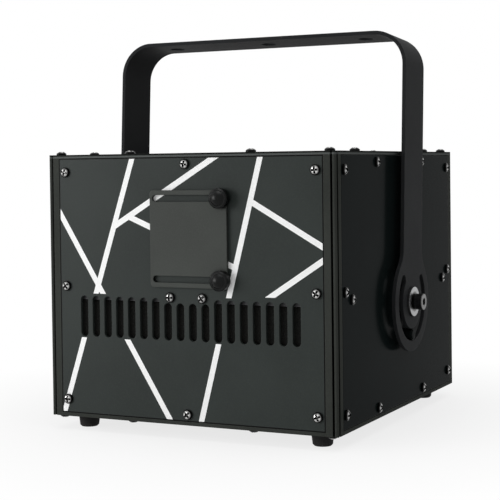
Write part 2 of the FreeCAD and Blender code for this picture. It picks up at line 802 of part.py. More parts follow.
# Panels, set flush between the posts' flanges
PANEL_WIDTH = "(body_width - 2 * (post_flange + panel_gap))"
PANEL_DEPTH = "(body_depth - 2 * (post_flange + panel_gap))"
PANEL_LEVEL = (f"{BASE_TOP} + panel_gap", f"{COVER_UNDER} - panel_gap")
WINDOW_Z = f"({ROOF} - shutter_drop)"
KNOB_LEVELS = (f"{WINDOW_Z} + shutter_slot_spacing / 2", f"{WINDOW_Z} - shutter_slot_spacing / 2")
KNOB_X = "(shutter_offset + shutter_travel / 2)"
WINDOW_X_SPAN = centred("0", "window_width")
WINDOW_Z_SPAN = centred(WINDOW_Z, "window_height")

# Front panel, with its air slots, beam window and the shutter knobs' threads
FRONT_PANEL_Y = (f"-{HALF_DEPTH}", f"-{INNER_Y}")
front_panel, front_sketch = flat_piece("front_sheet", "y", *FRONT_PANEL_Y)
draw_rectangle(front_sketch, centred("0", PANEL_WIDTH), PANEL_LEVEL)
draw_rectangle(front_sketch, WINDOW_X_SPAN, WINDOW_Z_SPAN, "shutter_corner")
for x, z in end_panel_screws + optics_front_screws:
    draw_circle(front_sketch, x, z, SCREW_HOLE)
for level in KNOB_LEVELS:
    draw_circle(front_sketch, KNOB_X, level, "knob_stem + thread_clearance")
vent_count = int(amount("vent_count"))
short_count = int(amount("vent_short_count"))
VENT_PITCH = f"({PANEL_WIDTH} - 2 * vent_side_margin) / (vent_count - 1)"
VENT_TOP = f"({ROOF} - vent_drop)"
for index in range(vent_count):
    in_middle = abs(2 * index - vent_count + 1) < short_count
    slot_top = f"{VENT_TOP} - vent_shortening" if in_middle else VENT_TOP
    slot_x = f"{VENT_PITCH} * ({index} - (vent_count - 1) / 2)"
    draw_slot(front_sketch, slot_x, (f"{VENT_TOP} - vent_length", slot_top), "vent_width")
as_node(front_panel, "front_panel")

# Window glass, glued behind the opening
GLASS_Y = (f"-{INNER_Y}", f"-{INNER_Y} + glass_thickness")
glass, glass_sketch = flat_piece("glass_pane", "y", *GLASS_Y)
draw_rectangle(
    glass_sketch,
    centred("0", "window_width + 2 * glass_margin"),
    centred(WINDOW_Z, "window_height + 2 * glass_margin"),
    "shutter_corner",
)
as_node(glass, "window_glass")

# Shutter plate, which slides to the right on two slots and is held by two knobs
SHUTTER_Y = (f"-({HALF_DEPTH} + shutter_thickness)", f"-{HALF_DEPTH}")
shutter, shutter_sketch = flat_piece("shutter_sheet", "y", *SHUTTER_Y)
draw_rectangle(
    shutter_sketch,
    centred("shutter_offset", "shutter_travel + 2 * shutter_slot_margin"),
    centred(WINDOW_Z, "shutter_height"),
    "shutter_corner",
)
SLOT_SPAN = centred("shutter_offset", "shutter_travel + shutter_slot_width")
for level in KNOB_LEVELS:
    draw_slot(shutter_sketch, SLOT_SPAN, level, "shutter_slot_width")
as_node(shutter, "shutter_plate")

# Domed knobs, whose stems pass the shutter's slots and screw into the front panel
BARREL_Y = "(shutter_thickness + knob_barrel_height)"
CROWN_Y = f"({BARREL_Y} + knob_shoulder)"
DOME_RADIUS = "((knob_dome ^ 2 + knob_dome_rise ^ 2) / (2 * knob_dome_rise))"
knob_stem = rod("knob_stem_rod", "y", "0", (f"-{BARREL_Y}", "panel_thickness"), "0", "knob_stem")
knob_barrel = rod("knob_barrel_rod", "y", "0", (f"-{BARREL_Y}", "-shutter_thickness"), "0", "knob_barrel")
shoulder = doc.addObject("Part::Cone", "knob_shoulder_cone")
shoulder.Placement = FreeCAD.Placement(FreeCAD.Vector(), TURN_TO_FACE["front"])
bind(shoulder, "Radius1", "knob_barrel")
bind(shoulder, "Radius2", "knob_barrel - knob_shoulder")
bind(shoulder, "Height", "knob_shoulder")
bind(shoulder, "Placement.Base.y", f"-{BARREL_Y}")
dome = doc.addObject("Part::Sphere", "knob_dome_cap")
dome.Placement = FreeCAD.Placement(FreeCAD.Vector(), TURN_TO_FACE["front"])
bind(dome, "Radius", DOME_RADIUS)
bind(dome, "Angle1", f"asin(1 - knob_dome_rise / {DOME_RADIUS})")
bind(dome, "Placement.Base.y", f"{DOME_RADIUS} - knob_dome_rise - {CROWN_Y}")
knob = fused("knob", [knob_stem, knob_barrel, shoulder, dome])
for knob_label, level in zip(("shutter_knob_upper", "shutter_knob_lower"), KNOB_LEVELS):
    placed = copied(f"{knob_label}_copy", knob, FreeCAD.Rotation(), KNOB_X, f"-{HALF_DEPTH}", level)
    as_node(gathered(f"{knob_label}_piece", [placed]), knob_label)

# Side panels, with the holes for the pivot bolt and the stop peg
PEG_Z = f"({PIVOT_Z} - stop_slot_radius)"
for side in SIDES:
    side_word = "right" if side > 0 else "left"
    panel_x = mirrored_span(side, INNER_X, HALF_WIDTH)
    panel, panel_sketch = flat_piece(f"side_sheet_{side_word}", "x", *panel_x)
    draw_rectangle(panel_sketch, centred("0", PANEL_DEPTH), PANEL_LEVEL)
    for y, z in side_panel_screws + optics_side_screws:
        draw_circle(panel_sketch, y, z, SCREW_HOLE)
    draw_circle(panel_sketch, "pivot_y", PIVOT_Z, "pivot_bolt + screw_clearance")
    draw_circle(panel_sketch, "pivot_y", PEG_Z, "stop_peg + thread_clearance")
    as_node(panel, f"side_panel_{side_word}")

# Yoke, drawn upright about its pivot axis and leaned back: a bent bar with a slotted disc at each end
YOKE_OUTER = f"({HALF_WIDTH} + yoke_gap + yoke_thickness)"
YOKE_INNER = f"({HALF_WIDTH} + yoke_gap)"
FLARE_Y = "(yoke_strip / 2 + yoke_flare)"
FLARE_Z = f"sqrt((yoke_disc + yoke_flare) ^ 2 - {FLARE_Y} ^ 2)"
yoke = doc.addObject("PartDesign::Body", "yoke_bar")
bar_sketch = add_pad(yoke, "yoke_bend_form", "y", "-yoke_strip / 2", "yoke_strip / 2")
draw_outline(bar_sketch, [
    (f"-{YOKE_OUTER}", FLARE_Z),
    (f"-{YOKE_OUTER}", "yoke_rise", "yoke_bend"),
    (YOKE_OUTER, "yoke_rise", "yoke_bend"),
    (YOKE_OUTER, FLARE_Z),
    (YOKE_INNER, FLARE_Z),
    (YOKE_INNER, "yoke_rise - yoke_thickness", "yoke_bend - yoke_thickness"),
    (f"-{YOKE_INNER}", "yoke_rise - yoke_thickness", "yoke_bend - yoke_thickness"),
    (f"-{YOKE_INNER}", FLARE_Z),
])


def draw_disc_end(sketch):
    """The flat end of a yoke arm: a disc about the pivot, flared out from the arm's width."""
    disc = amount("yoke_disc")
    flare = amount("yoke_flare")
    centre = (amount(FLARE_Y), amount(FLARE_Z))
    meeting = math.degrees(math.atan2(centre[1], centre[0]))
    rim = draw_arc(sketch, (0, 0), disc, 180 - meeting, 360 + meeting)
    right = draw_arc(sketch, centre, flare, 180, 180 + meeting)
    left = draw_arc(sketch, (-centre[0], centre[1]), flare, 360 - meeting, 360)
    arm = amount("yoke_strip / 2")
    top = sketch.addGeometry(Part.LineSegment(
        FreeCAD.Vector(arm, centre[1], 0),
        FreeCAD.Vector(-arm, centre[1], 0),
    ))
    constrain(
        sketch,
        (Sketcher.Constraint("Coincident", rim, 3, -1, 1), None),
        (Sketcher.Constraint("Radius", rim, disc), "yoke_disc"),
        (Sketcher.Constraint("Radius", right, flare), "yoke_flare"),
        (Sketcher.Constraint("Radius", left, flare), "yoke_flare"),
        (Sketcher.Constraint("Tangent", rim, 2, right, 2), None),
        (Sketcher.Constraint("Tangent", left, 1, rim, 1), None),
        (Sketcher.Constraint("Coincident", right, 1, top, 1), None),
        (Sketcher.Constraint("Coincident", top, 2, left, 2), None),
        (Sketcher.Constraint("DistanceX", -1, 1, right, 3, centre[0]), FLARE_Y),
        (Sketcher.Constraint("DistanceX", -1, 1, left, 3, -centre[0]), f"-{FLARE_Y}"),
        (Sketcher.Constraint("Horizontal", right, 3, right, 1), None),
        (Sketcher.Constraint("Horizontal", left, 3, left, 2), None),
    )


def draw_stop_slot(sketch):
    """The curved slot round the pivot that the stop peg runs in."""
    middle = amount("stop_slot_radius")
    half = amount("stop_slot_width / 2")
    angle = amount("stop_slot_angle")
    end = (middle * math.cos(math.radians(angle)), middle * math.sin(math.radians(angle)))
    outer = draw_arc(sketch, (0, 0), middle + half, 180 - angle, 360 + angle)
    inner = draw_arc(sketch, (0, 0), middle - half, 180 - angle, 360 + angle)
    right = draw_arc(sketch, end, half, angle, angle + 180)
    left = draw_arc(sketch, (-end[0], end[1]), half, -angle, 180 - angle)
    end_height = "stop_slot_radius * sin(stop_slot_angle)"
    constrain(
        sketch,
        (Sketcher.Constraint("Coincident", outer, 3, -1, 1), None),
        (Sketcher.Constraint("Coincident", inner, 3, -1, 1), None),
        (Sketcher.Constraint("Radius", outer, middle + half), "stop_slot_radius + stop_slot_width / 2"),
        (Sketcher.Constraint("Radius", inner, middle - half), "stop_slot_radius - stop_slot_width / 2"),
        (Sketcher.Constraint("Tangent", outer, 2, right, 1), None),
        (Sketcher.Constraint("Tangent", right, 2, inner, 2), None),
        (Sketcher.Constraint("Tangent", outer, 1, left, 2), None),
        (Sketcher.Constraint("Tangent", left, 1, inner, 1), None),
        (Sketcher.Constraint("DistanceY", -1, 1, right, 3, end[1]), end_height),
        (Sketcher.Constraint("DistanceY", -1, 1, left, 3, end[1]), end_height),
    )


for side in SIDES:
    disc_x = mirrored_span(side, YOKE_INNER, YOKE_OUTER)
    draw_disc_end(add_pad(yoke, f"yoke_disc_{'right' if side > 0 else 'left'}", "x", *disc_x))
draw_stop_slot(add_pocket(yoke, "yoke_stop_slot", "x", YOKE_OUTER))
draw_circle(
    add_pocket(yoke, "yoke_pivot_hole", "x", YOKE_OUTER),
    "0",
    "0",
    "pivot_bolt + pivot_running_clearance",
)
mount_sketch = add_pocket(yoke, "yoke_mount_holes", "z", "yoke_rise")
for place in (-1, 0, 1):
    draw_circle(mount_sketch, f"{place} * ({YOKE_OUTER} - yoke_hole_inset)", "0", "yoke_hole")
yoke.Placement = FreeCAD.Placement(FreeCAD.Vector(), FreeCAD.Rotation(FreeCAD.Vector(-1, 0, 0), 1))
bind(yoke, "Placement.Rotation.Angle", "yoke_lean")
move_to(yoke, "0", "pivot_y", PIVOT_Z)
as_node(yoke, "yoke")

# Pivots: on each side a cap screw through washer, yoke, spacer and side panel into a nut bar
WASHER_X = (YOKE_OUTER, f"{YOKE_OUTER} + washer_thickness")
HEAD_X = (WASHER_X[1], f"{WASHER_X[1]} + pivot_head_height")
SPACER_X = (HALF_WIDTH, YOKE_INNER)
NUT_X = (f"{INNER_X} - nut_bar_thickness", INNER_X)
PEG_X = (INNER_X, f"{YOKE_OUTER} + stop_peg_proud")
PIVOT_LABELS = ("pivot_bolts", "pivot_washers", "pivot_spacers", "pivot_nut_bars", "stop_pegs")
pivot_pieces = {label: [] for label in PIVOT_LABELS}


def pivot_rod(name, side, stretch, radius, z=PIVOT_Z):
    """A round piece or hole on one side's pivot line, or on a line below it."""
    tag = "right" if side > 0 else "left"
    return rod(f"{name}_{tag}", "x", mirrored_span(side, *stretch), "pivot_y", z, radius)


for side in SIDES:
    tag = "right" if side > 0 else "left"
    shank = pivot_rod("bolt_shank", side, (f"{NUT_X[0]} - pivot_tail", HEAD_X[0]), "pivot_bolt")
    head = pivot_rod("bolt_head", side, HEAD_X, "pivot_head")
    socket = doc.addObject("Part::Prism", f"bolt_socket_{tag}")
    socket.Polygon = 6
    socket.Placement = FreeCAD.Placement(FreeCAD.Vector(), TURN_TO_AXIS["x"])
    socket_x = mirrored_span(side, f"{HEAD_X[1]} - pivot_hex_depth", f"{HEAD_X[1]} + pivot_hex_depth")
    bind(socket, "Circumradius", "pivot_hex")
    bind(socket, "Height", f"({socket_x[1]}) - ({socket_x[0]})")
    move_to(socket, socket_x[0], "pivot_y", PIVOT_Z)
    bolt = cut(f"pivot_bolt_{tag}", fused(f"bolt_blank_{tag}", [shank, head]), [socket])
    pivot_pieces["pivot_bolts"].append(bolt)

    washer_disc = pivot_rod("washer_disc", side, WASHER_X, "washer_radius")
    washer_hole = pivot_rod("washer_hole", side, WASHER_X, "pivot_bolt + screw_clearance")
    pivot_pieces["pivot_washers"].append(cut(f"washer_{tag}", washer_disc, [washer_hole]))

    spacer_tube = pivot_rod("spacer_tube", side, SPACER_X, "spacer_radius")
    spacer_hole = pivot_rod("spacer_hole", side, SPACER_X, "pivot_bolt + screw_clearance")
    pivot_pieces["pivot_spacers"].append(cut(f"spacer_{tag}", spacer_tube, [spacer_hole]))

    nut_blank = block(
        f"nut_blank_{tag}",
        mirrored_span(side, *NUT_X),
        centred("pivot_y", "nut_bar_length"),
        centred(PIVOT_Z, "nut_bar_height"),
    )
    nut_thread = pivot_rod("nut_thread", side, NUT_X, "pivot_bolt + thread_clearance")
    pivot_pieces["pivot_nut_bars"].append(cut(f"nut_bar_{tag}", nut_blank, [nut_thread]))

    peg_body = pivot_rod("peg_body", side, (PEG_X[0], f"{PEG_X[1]} - stop_peg_tip"), "stop_peg", PEG_Z)
    peg_tip = pivot_rod("peg_tip", side, PEG_X, "stop_peg - stop_peg_tip", PEG_Z)
    pivot_pieces["stop_pegs"].append(fused(f"stop_peg_{tag}", [peg_body, peg_tip]))
for pivot_label, pieces in pivot_pieces.items():
    as_node(gathered(f"{pivot_label}_pair", pieces), pivot_label)

# Optics plate, a thick shelf held by screws through the front and side panels into its edges
optics_plate, optics_sketch = flat_piece("optics_sheet", "z", PLATE_UNDER, PLATE_TOP)
CLEAR_X = f"({HALF_WIDTH} - post_ledge - optics_fit)"
CLEAR_Y = f"({HALF_DEPTH} - post_ledge - optics_fit)"
OPTICS_REAR = f"({INNER_Y} - optics_rear_gap)"
draw_outline(optics_sketch, [
    (f"-{CLEAR_X}", f"-{INNER_Y}"),
    (CLEAR_X, f"-{INNER_Y}"),
    (CLEAR_X, f"-{CLEAR_Y}"),
    (INNER_X, f"-{CLEAR_Y}"),
    (INNER_X, OPTICS_REAR),
    (f"-{INNER_X}", OPTICS_REAR),
    (f"-{INNER_X}", f"-{CLEAR_Y}"),
    (f"-{CLEAR_X}", f"-{CLEAR_Y}"),
])
front_thread = (f"-{INNER_Y}", f"-{INNER_Y} + optics_thread_depth")
optics_threads = []
for index, (x, z) in enumerate(optics_front_screws):
    optics_threads.append(rod(f"optics_front_{index}", "y", x, front_thread, z, SCREW_THREAD))
for index, (y, z) in enumerate(optics_side_screws):
    for side in SIDES:
        tag = f"{'right' if side > 0 else 'left'}_{index}"
        side_thread = mirrored_span(side, f"{INNER_X} - optics_thread_depth", INNER_X)
        optics_threads.append(rod(f"optics_side_{tag}", "x", side_thread, y, z, SCREW_THREAD))
as_node(cut("optics_drilled", optics_plate, optics_threads), "optics_plate")

# Laser modules, finned blocks side by side that fire to the right
LASER_X = (f"-{INNER_X} + laser_side_gap", f"-{INNER_X} + laser_side_gap + laser_length")
LASER_TOP = f"({PLATE_TOP} + laser_height)"
BEAM_Z = f"({PLATE_TOP} + beam_height)"
LAST_LASER_Y = f"({OPTICS_REAR} - laser_rear_gap - laser_width / 2)"
laser_rows = [f"({LAST_LASER_Y} - {2 - index} * laser_pitch)" for index in range(3)]
fin_count = int(amount("laser_fin_count"))
for laser_label, laser_y in zip(("laser_red", "laser_green", "laser_blue"), laser_rows):
    case = block(f"{laser_label}_case", LASER_X, centred(laser_y, "laser_width"), (PLATE_TOP, LASER_TOP))
    nose_x = (LASER_X[1], f"{LASER_X[1]} + laser_nose_length")
    nose = rod(f"{laser_label}_nose", "x", nose_x, laser_y, BEAM_Z, "laser_nose")
    grooves = []
    for index in range(fin_count):
        groove_y = f"{laser_y} + laser_width * (({index} + 1) / (laser_fin_count + 1) - 1 / 2)"
        grooves.append(block(
            f"{laser_label}_groove_{index}",
            LASER_X,
            centred(groove_y, "laser_fin_slot"),
            (f"{LASER_TOP} - laser_fin_depth", LASER_TOP),
        ))
    as_node(cut(f"{laser_label}_finned", fused(f"{laser_label}_body", [case, nose]), grooves), laser_label)

# Mirror mounts: three on the beam column join the colours, a fourth turns the beam to the scanner
SCANNER_Y = f"(scanner_setback - {INNER_Y})"
MOUNT_TOP = "(beam_height - mirror_height / 2)"
HALF_MIRROR = centred("0", "mirror_width")
mount_base = block("mount_base", centred("0", "mount_depth"), HALF_MIRROR, ("0", MOUNT_TOP))
mount_lip = block(
    "mount_lip_form",
    ("-mirror_thickness - mount_lip", "-mirror_thickness"),
    HALF_MIRROR,
    (MOUNT_TOP, f"{MOUNT_TOP} + mount_lip_height"),
)
mount_form = fused("mount_form", [mount_base, mount_lip])
mirror_pane = block(
    "mirror_pane",
    ("-mirror_thickness", "0"),
    HALF_MIRROR,
    (MOUNT_TOP, f"{MOUNT_TOP} + mirror_height"),
)
mirror_form = gathered("mirror_form", [mirror_pane])
FACING_FRONT_LEFT = 225
FACING_REAR_LEFT = 135
mirror_places = [(laser_y, FACING_FRONT_LEFT) for laser_y in laser_rows] + [(SCANNER_Y, FACING_REAR_LEFT)]
mounts = []
mirrors = []
for index, (y, angle) in enumerate(mirror_places):
    turn = FreeCAD.Rotation(FreeCAD.Vector(0, 0, 1), angle)
    mounts.append(copied(f"mount_{index}", mount_form, turn, "beam_column_x", y, PLATE_TOP))
    mirrors.append(copied(f"mirror_{index}", mirror_form, turn, "beam_column_x", y, PLATE_TOP))
as_node(gathered("mounts", mounts), "mirror_mounts")
as_node(gathered("mirrors", mirrors), "combining_mirrors")

# Scanner block, which holds the two galvo motors at right angles
SEAT = "(galvo_radius + galvo_seat)"
HALF_BLOCK = f"({SEAT} + scanner_wall)"
X_MOTOR_Y = (f"{SCANNER_Y} + galvo_reach", f"{SCANNER_Y} + galvo_reach + galvo_length")
Y_MOTOR_X = ("-galvo_reach - galvo_length", "-galvo_reach")
X_BLOCK_X = centred("0", f"2 * {HALF_BLOCK}")
X_BLOCK_Y = (f"{X_MOTOR_Y[0]} + scanner_wall", f"{X_MOTOR_Y[0]} + scanner_wall + scanner_block_length")
Y_BLOCK_X = (f"{Y_MOTOR_X[1]} - scanner_wall - scanner_block_length", f"{Y_MOTOR_X[1]} - scanner_wall")
Y_BLOCK_Y = centred(SCANNER_Y, f"2 * {HALF_BLOCK}")
scanner_solid = fused("scanner_solid", [
    block(
        "scanner_foot",
        (Y_BLOCK_X[0], HALF_BLOCK),
        (Y_BLOCK_Y[0], X_BLOCK_Y[1]),
        (PLATE_TOP, f"{PLATE_TOP} + scanner_base"),
    ),
    block("scanner_x_block", X_BLOCK_X, X_BLOCK_Y, (PLATE_TOP, f"{BEAM_Z} + {HALF_BLOCK}")),
    block("scanner_y_block", Y_BLOCK_X, Y_BLOCK_Y, (PLATE_TOP, f"{WINDOW_Z} + {HALF_BLOCK}")),
])
as_node(
    cut("scanner_bored", scanner_solid, [
        rod("scanner_x_bore", "y", "0", X_BLOCK_Y, BEAM_Z, SEAT),
        rod("scanner_y_bore", "x", Y_BLOCK_X, SCANNER_Y, WINDOW_Z, SEAT),
    ]),
    "scanner_block",
)

# Galvo motors, and the mirrors on their shafts, set at 45 degrees to the beam
SHAFT_BORE = "(galvo_shaft + galvo_shaft_clearance)"
x_motor = rod("x_motor_can", "y", "0", X_MOTOR_Y, BEAM_Z, "galvo_radius")
x_bore = rod("x_motor_bore", "y", "0", X_MOTOR_Y, BEAM_Z, SHAFT_BORE)
as_node(cut("x_motor", x_motor, [x_bore]), "galvo_x_motor")
y_motor = rod("y_motor_can", "x", Y_MOTOR_X, SCANNER_Y, WINDOW_Z, "galvo_radius")
y_bore = rod("y_motor_bore", "x", Y_MOTOR_X, SCANNER_Y, WINDOW_Z, SHAFT_BORE)
as_node(cut("y_motor", y_motor, [y_bore]), "galvo_y_motor")
HALF_TURN_TO_BEAM = "45"
x_plate = turned(
    "x_mirror_plate",
    block(
        "x_mirror_form",
        centred("0", "galvo_x_mirror_width"),
        centred("0", "galvo_x_mirror_length"),
        centred("0", "galvo_mirror_thickness"),
    ),
    (0, 1, 0),
    HALF_TURN_TO_BEAM,
    "0",
    SCANNER_Y,
    BEAM_Z,
)
x_shaft_y = (f"{SCANNER_Y} + galvo_x_mirror_length / 2 - galvo_shaft", f"{X_MOTOR_Y[0]} + galvo_length / 2")
x_shaft = rod("x_mirror_shaft", "y", "0", x_shaft_y, BEAM_Z, "galvo_shaft")
as_node(fused("x_mirror", [x_plate, x_shaft]), "galvo_x_mirror")
y_plate = turned(
    "y_mirror_plate",
    block(
        "y_mirror_form",
        centred("0", "galvo_y_mirror_length"),
        centred("0", "galvo_y_mirror_width"),
        centred("0", "galvo_mirror_thickness"),
    ),
    (1, 0, 0),
    f"-{HALF_TURN_TO_BEAM}",
    "0",
    SCANNER_Y,
    WINDOW_Z,
)
y_shaft_x = (f"{Y_MOTOR_X[1]} - galvo_length / 2", "galvo_shaft - galvo_y_mirror_length / 2")
y_shaft = rod("y_mirror_shaft", "x", y_shaft_x, SCANNER_Y, WINDOW_Z, "galvo_shaft")
as_node(fused("y_mirror", [y_plate, y_shaft]), "galvo_y_mirror")

# Power supply on the base plate, with its terminal strip at the back
SUPPLY_X = (f"{INNER_X} - supply_side_gap - supply_width", f"{INNER_X} - supply_side_gap")
SUPPLY_START = f"(supply_front_gap - {INNER_Y})"
SUPPLY_END = f"({SUPPLY_START} + supply_length)"
supply_case = block(
    "supply_case",
    SUPPLY_X,
    (SUPPLY_START, SUPPLY_END),
    (BASE_TOP, f"{BASE_TOP} + supply_height"),
)
terminal_strip = block(
    "terminal_strip",
    SUPPLY_X,
    (SUPPLY_END, f"{SUPPLY_END} + terminal_length"),
    (BASE_TOP, f"{BASE_TOP} + terminal_height"),
)
as_node(fused("supply", [supply_case, terminal_strip]), "power_supply")

# Circuit boards on standoffs: the scanner's driver with its heat sink, and the control board
BOARD_Z = (f"{BASE_TOP} + standoff_height", f"{BASE_TOP} + standoff_height + board_thickness")
BOARD_X = (f"board_side_gap - {INNER_X}", f"board_side_gap - {INNER_X} + board_width")
BOARD_MIDDLE = f"({BOARD_X[0]} + board_width / 2)"
DRIVER_Y = f"(board_front_gap - {INNER_Y})"
CONTROL_Y = f"({DRIVER_Y} + driver_board_length + board_spacing)"
standoffs = []


def board(label, start, length, parts):
    """A board between its standoffs' tops, with the parts soldered to it."""
    sheet_form = block(f"{label}_sheet", BOARD_X, (start, f"{start} + {length}"), BOARD_Z)
    as_node(fused(f"{label}_whole", [sheet_form] + parts), label)
    for x in (f"{BOARD_X[0]} + standoff_inset", f"{BOARD_X[1]} - standoff_inset"):
        for y in (f"{start} + standoff_inset", f"{start} + {length} - standoff_inset"):
            name = f"{label}_standoff_{len(standoffs)}"
            standoffs.append(rod(name, "z", x, y, (BASE_TOP, BOARD_Z[0]), "standoff_radius"))


heat_sink = block(
    "driver_heat_sink",
    centred(BOARD_MIDDLE, "board_width / 4"),
    centred(f"({DRIVER_Y} + driver_board_length / 2)", "driver_board_length / 2"),
    (BOARD_Z[0], f"{BOARD_Z[1]} + heat_sink_height"),
)
board("galvo_driver_board", DRIVER_Y, "driver_board_length", [heat_sink])
capacitor = rod(
    "control_capacitor",
    "z",
    BOARD_MIDDLE,
    f"({CONTROL_Y} + control_board_length / 2)",
    (BOARD_Z[0], f"{BOARD_Z[1]} + capacitor_height"),
    "capacitor_radius",
)
board("control_board", CONTROL_Y, "control_board_length", [capacitor])
as_node(gathered("standoff_group", standoffs), "board_standoffs")

# Fan: square frame with a seat for the shaft, and the bladed rotor that turns in it
FAN_X = f"(fan_inset - {HALF_WIDTH})"
FAN_Z = f"({FLOOR} + fan_level)"
FAN_Y = (f"{INNER_Y} - fan_depth", INNER_Y)
FAN_HOLES = [
    (f"{FAN_X} + {sx} * fan_hole_spacing / 2", f"{FAN_Z} + {sz} * fan_hole_spacing / 2")
    for sx, sz in CORNERS
]
fan_ring, fan_sketch = flat_piece("fan_ring", "y", *FAN_Y)
draw_rectangle(fan_sketch, centred(FAN_X, "fan_size"), centred(FAN_Z, "fan_size"), "fan_corner")
draw_circle(fan_sketch, FAN_X, FAN_Z, "fan_bore")
for x, z in FAN_HOLES:
    draw_circle(fan_sketch, x, z, SCREW_THREAD)
SEAT_Y = (FAN_Y[0], f"{FAN_Y[0]} + fan_seat_depth")
fan_seat = rod("fan_seat", "y", FAN_X, SEAT_Y, FAN_Z, "fan_hub")
STRUT_REACH = "2 * (fan_bore + guard_wire)"
fan_struts = [
    block("fan_strut_level", centred(FAN_X, STRUT_REACH), SEAT_Y, centred(FAN_Z, "fan_strut")),
    block("fan_strut_upright", centred(FAN_X, "fan_strut"), SEAT_Y, centred(FAN_Z, STRUT_REACH)),
]
fan_bearing = rod("fan_bearing", "y", FAN_X, SEAT_Y, FAN_Z, "fan_shaft + fan_shaft_clearance")
as_node(cut("fan_bored", fused("fan_body", [fan_ring, fan_seat] + fan_struts), [fan_bearing]), "fan_frame")

HUB_LENGTH = "(fan_depth - fan_seat_depth - 2 * fan_end_gap)"
hub = rod("rotor_hub", "y", "0", ("0", HUB_LENGTH), "0", "fan_hub")
rotor_shaft = rod("rotor_shaft", "y", "0", ("-fan_end_gap - fan_seat_depth", "0"), "0", "fan_shaft")
blade_form = block(
    "blade_form",
    ("0", "fan_bore - fan_tip_gap - fan_hub / 2"),
    centred("0", "fan_blade_chord"),
    centred("0", "fan_blade_thickness"),
)
blade_root = ("fan_hub / 2", f"{HUB_LENGTH} / 2", "0")
pitched_blade = turned("pitched_blade", blade_form, (1, 0, 0), "fan_blade_pitch", *blade_root)
blade_master = gathered("blade_master", [pitched_blade])
blade_count = int(amount("fan_blade_count"))
blades = []
for index in range(blade_count):
    spin = FreeCAD.Rotation(FreeCAD.Vector(0, 1, 0), 360 * index / blade_count)
    blades.append(copied(f"blade_{index}", blade_master, spin, "0", "0", "0"))
rotor = fused("rotor", [hub, rotor_shaft] + blades)
move_to(rotor, FAN_X, f"{SEAT_Y[1]} + fan_end_gap", FAN_Z)
as_node(rotor, "fan_rotor")

# Fan guard: wire rings welded on two crossing wires, with a lug at each corner
WIRE_Y = f"({HALF_DEPTH} + guard_wire)"
RING_Y = f"({HALF_DEPTH} + 5 / 2 * guard_wire)"
LUG_Y = (HALF_DEPTH, f"{HALF_DEPTH} + 2 * guard_wire")
guard_parts = []
guard_ring_count = int(amount("guard_ring_count"))
for index in range(guard_ring_count):
    ring = doc.addObject("Part::Torus", f"guard_ring_{index}")
    ring.Placement = FreeCAD.Placement(FreeCAD.Vector(), TURN_TO_AXIS["y"])
    bind(ring, "Radius1", f"guard_ring_pitch * ({index} + 1)")
    bind(ring, "Radius2", "guard_wire")
    move_to(ring, FAN_X, RING_Y, FAN_Z)
    guard_parts.append(ring)
cross_wire = rod("cross_wire", "z", "0", "0", centred("0", "fan_hole_spacing * sqrt(2)"), "guard_wire")
for index, angle in enumerate(("45", "-45")):
    guard_parts.append(turned(f"guard_wire_{index}", cross_wire, (0, 1, 0), angle, FAN_X, WIRE_Y, FAN_Z))
for index, (x, z) in enumerate(FAN_HOLES):
    guard_parts.append(rod(f"guard_lug_{index}", "y", x, LUG_Y, z, "guard_lug"))
guard_holes = [
    rod(f"guard_hole_{index}", "y", x, LUG_Y, z, SCREW_HOLE)
    for index, (x, z) in enumerate(FAN_HOLES)
]
as_node(cut("guard", fused("guard_wires", guard_parts), guard_holes), "fan_guard")

# Mains inlet: a flanged body with the plug's mouth and pins below and the switch's recess above
INLET_X = f"({HALF_WIDTH} - inlet_inset)"
INLET_Z = f"({FLOOR} + inlet_level)"
MOUTH_Z = f"({INLET_Z} - inlet_mouth_drop)"
ROCKER_Z = f"({INLET_Z} + rocker_rise)"
FLANGE_FACE = f"({HALF_DEPTH} + inlet_flange)"
ROCKER_Y = f"({FLANGE_FACE} - rocker_axis_depth)"
INLET_SCREWS = [(INLET_X, f"{INLET_Z} + {side} * inlet_screw_spacing / 2") for side in SIDES]
inlet_flange, inlet_sketch = flat_piece("inlet_flange_sheet", "y", HALF_DEPTH, FLANGE_FACE)
draw_rectangle(
    inlet_sketch,
    centred(INLET_X, "inlet_flange_width"),
    centred(INLET_Z, "inlet_flange_height"),
    "socket_corner",
)
for x, z in INLET_SCREWS:
    draw_circle(inlet_sketch, x, z, "small_shank + screw_clearance")
inlet_body = block(
    "inlet_body",
    centred(INLET_X, "inlet_body_width"),
    (f"{HALF_DEPTH} - inlet_depth", HALF_DEPTH),
    centred(INLET_Z, "inlet_body_height"),
)
mouth, mouth_sketch = flat_piece("inlet_mouth", "y", f"{FLANGE_FACE} - inlet_mouth_depth", FLANGE_FACE)
mouth_left, mouth_right = centred(INLET_X, "inlet_mouth_width")
mouth_low, mouth_high = centred(MOUTH_Z, "inlet_mouth_height")
draw_outline(mouth_sketch, [
    (mouth_left, mouth_low),
    (mouth_right, mouth_low),
    (mouth_right, f"{mouth_high} - inlet_mouth_chamfer"),
    (f"{mouth_right} - inlet_mouth_chamfer", mouth_high),
    (f"{mouth_left} + inlet_mouth_chamfer", mouth_high),
    (mouth_left, f"{mouth_high} - inlet_mouth_chamfer"),
])
rocker_recess = block(
    "rocker_recess",
    centred(INLET_X, "rocker_recess_width"),
    (f"{FLANGE_FACE} - rocker_recess_depth", FLANGE_FACE),
    centred(ROCKER_Z, "rocker_recess_height"),
)
ROCKER_PIN_X = centred(INLET_X, "rocker_width + 2 * rocker_pin_length")
rocker_bore = rod("rocker_bore", "x", ROCKER_PIN_X, ROCKER_Y, ROCKER_Z, "rocker_pin + rocker_pin_clearance")
inlet_solid = fused("inlet_solid", [inlet_flange, inlet_body])
inlet_hollow = cut("inlet_hollow", inlet_solid, [mouth, rocker_recess, rocker_bore])
PIN_Y = (
    f"{FLANGE_FACE} - inlet_mouth_depth - inlet_pin_width",
    f"{FLANGE_FACE} - inlet_mouth_depth + inlet_pin_length",
)
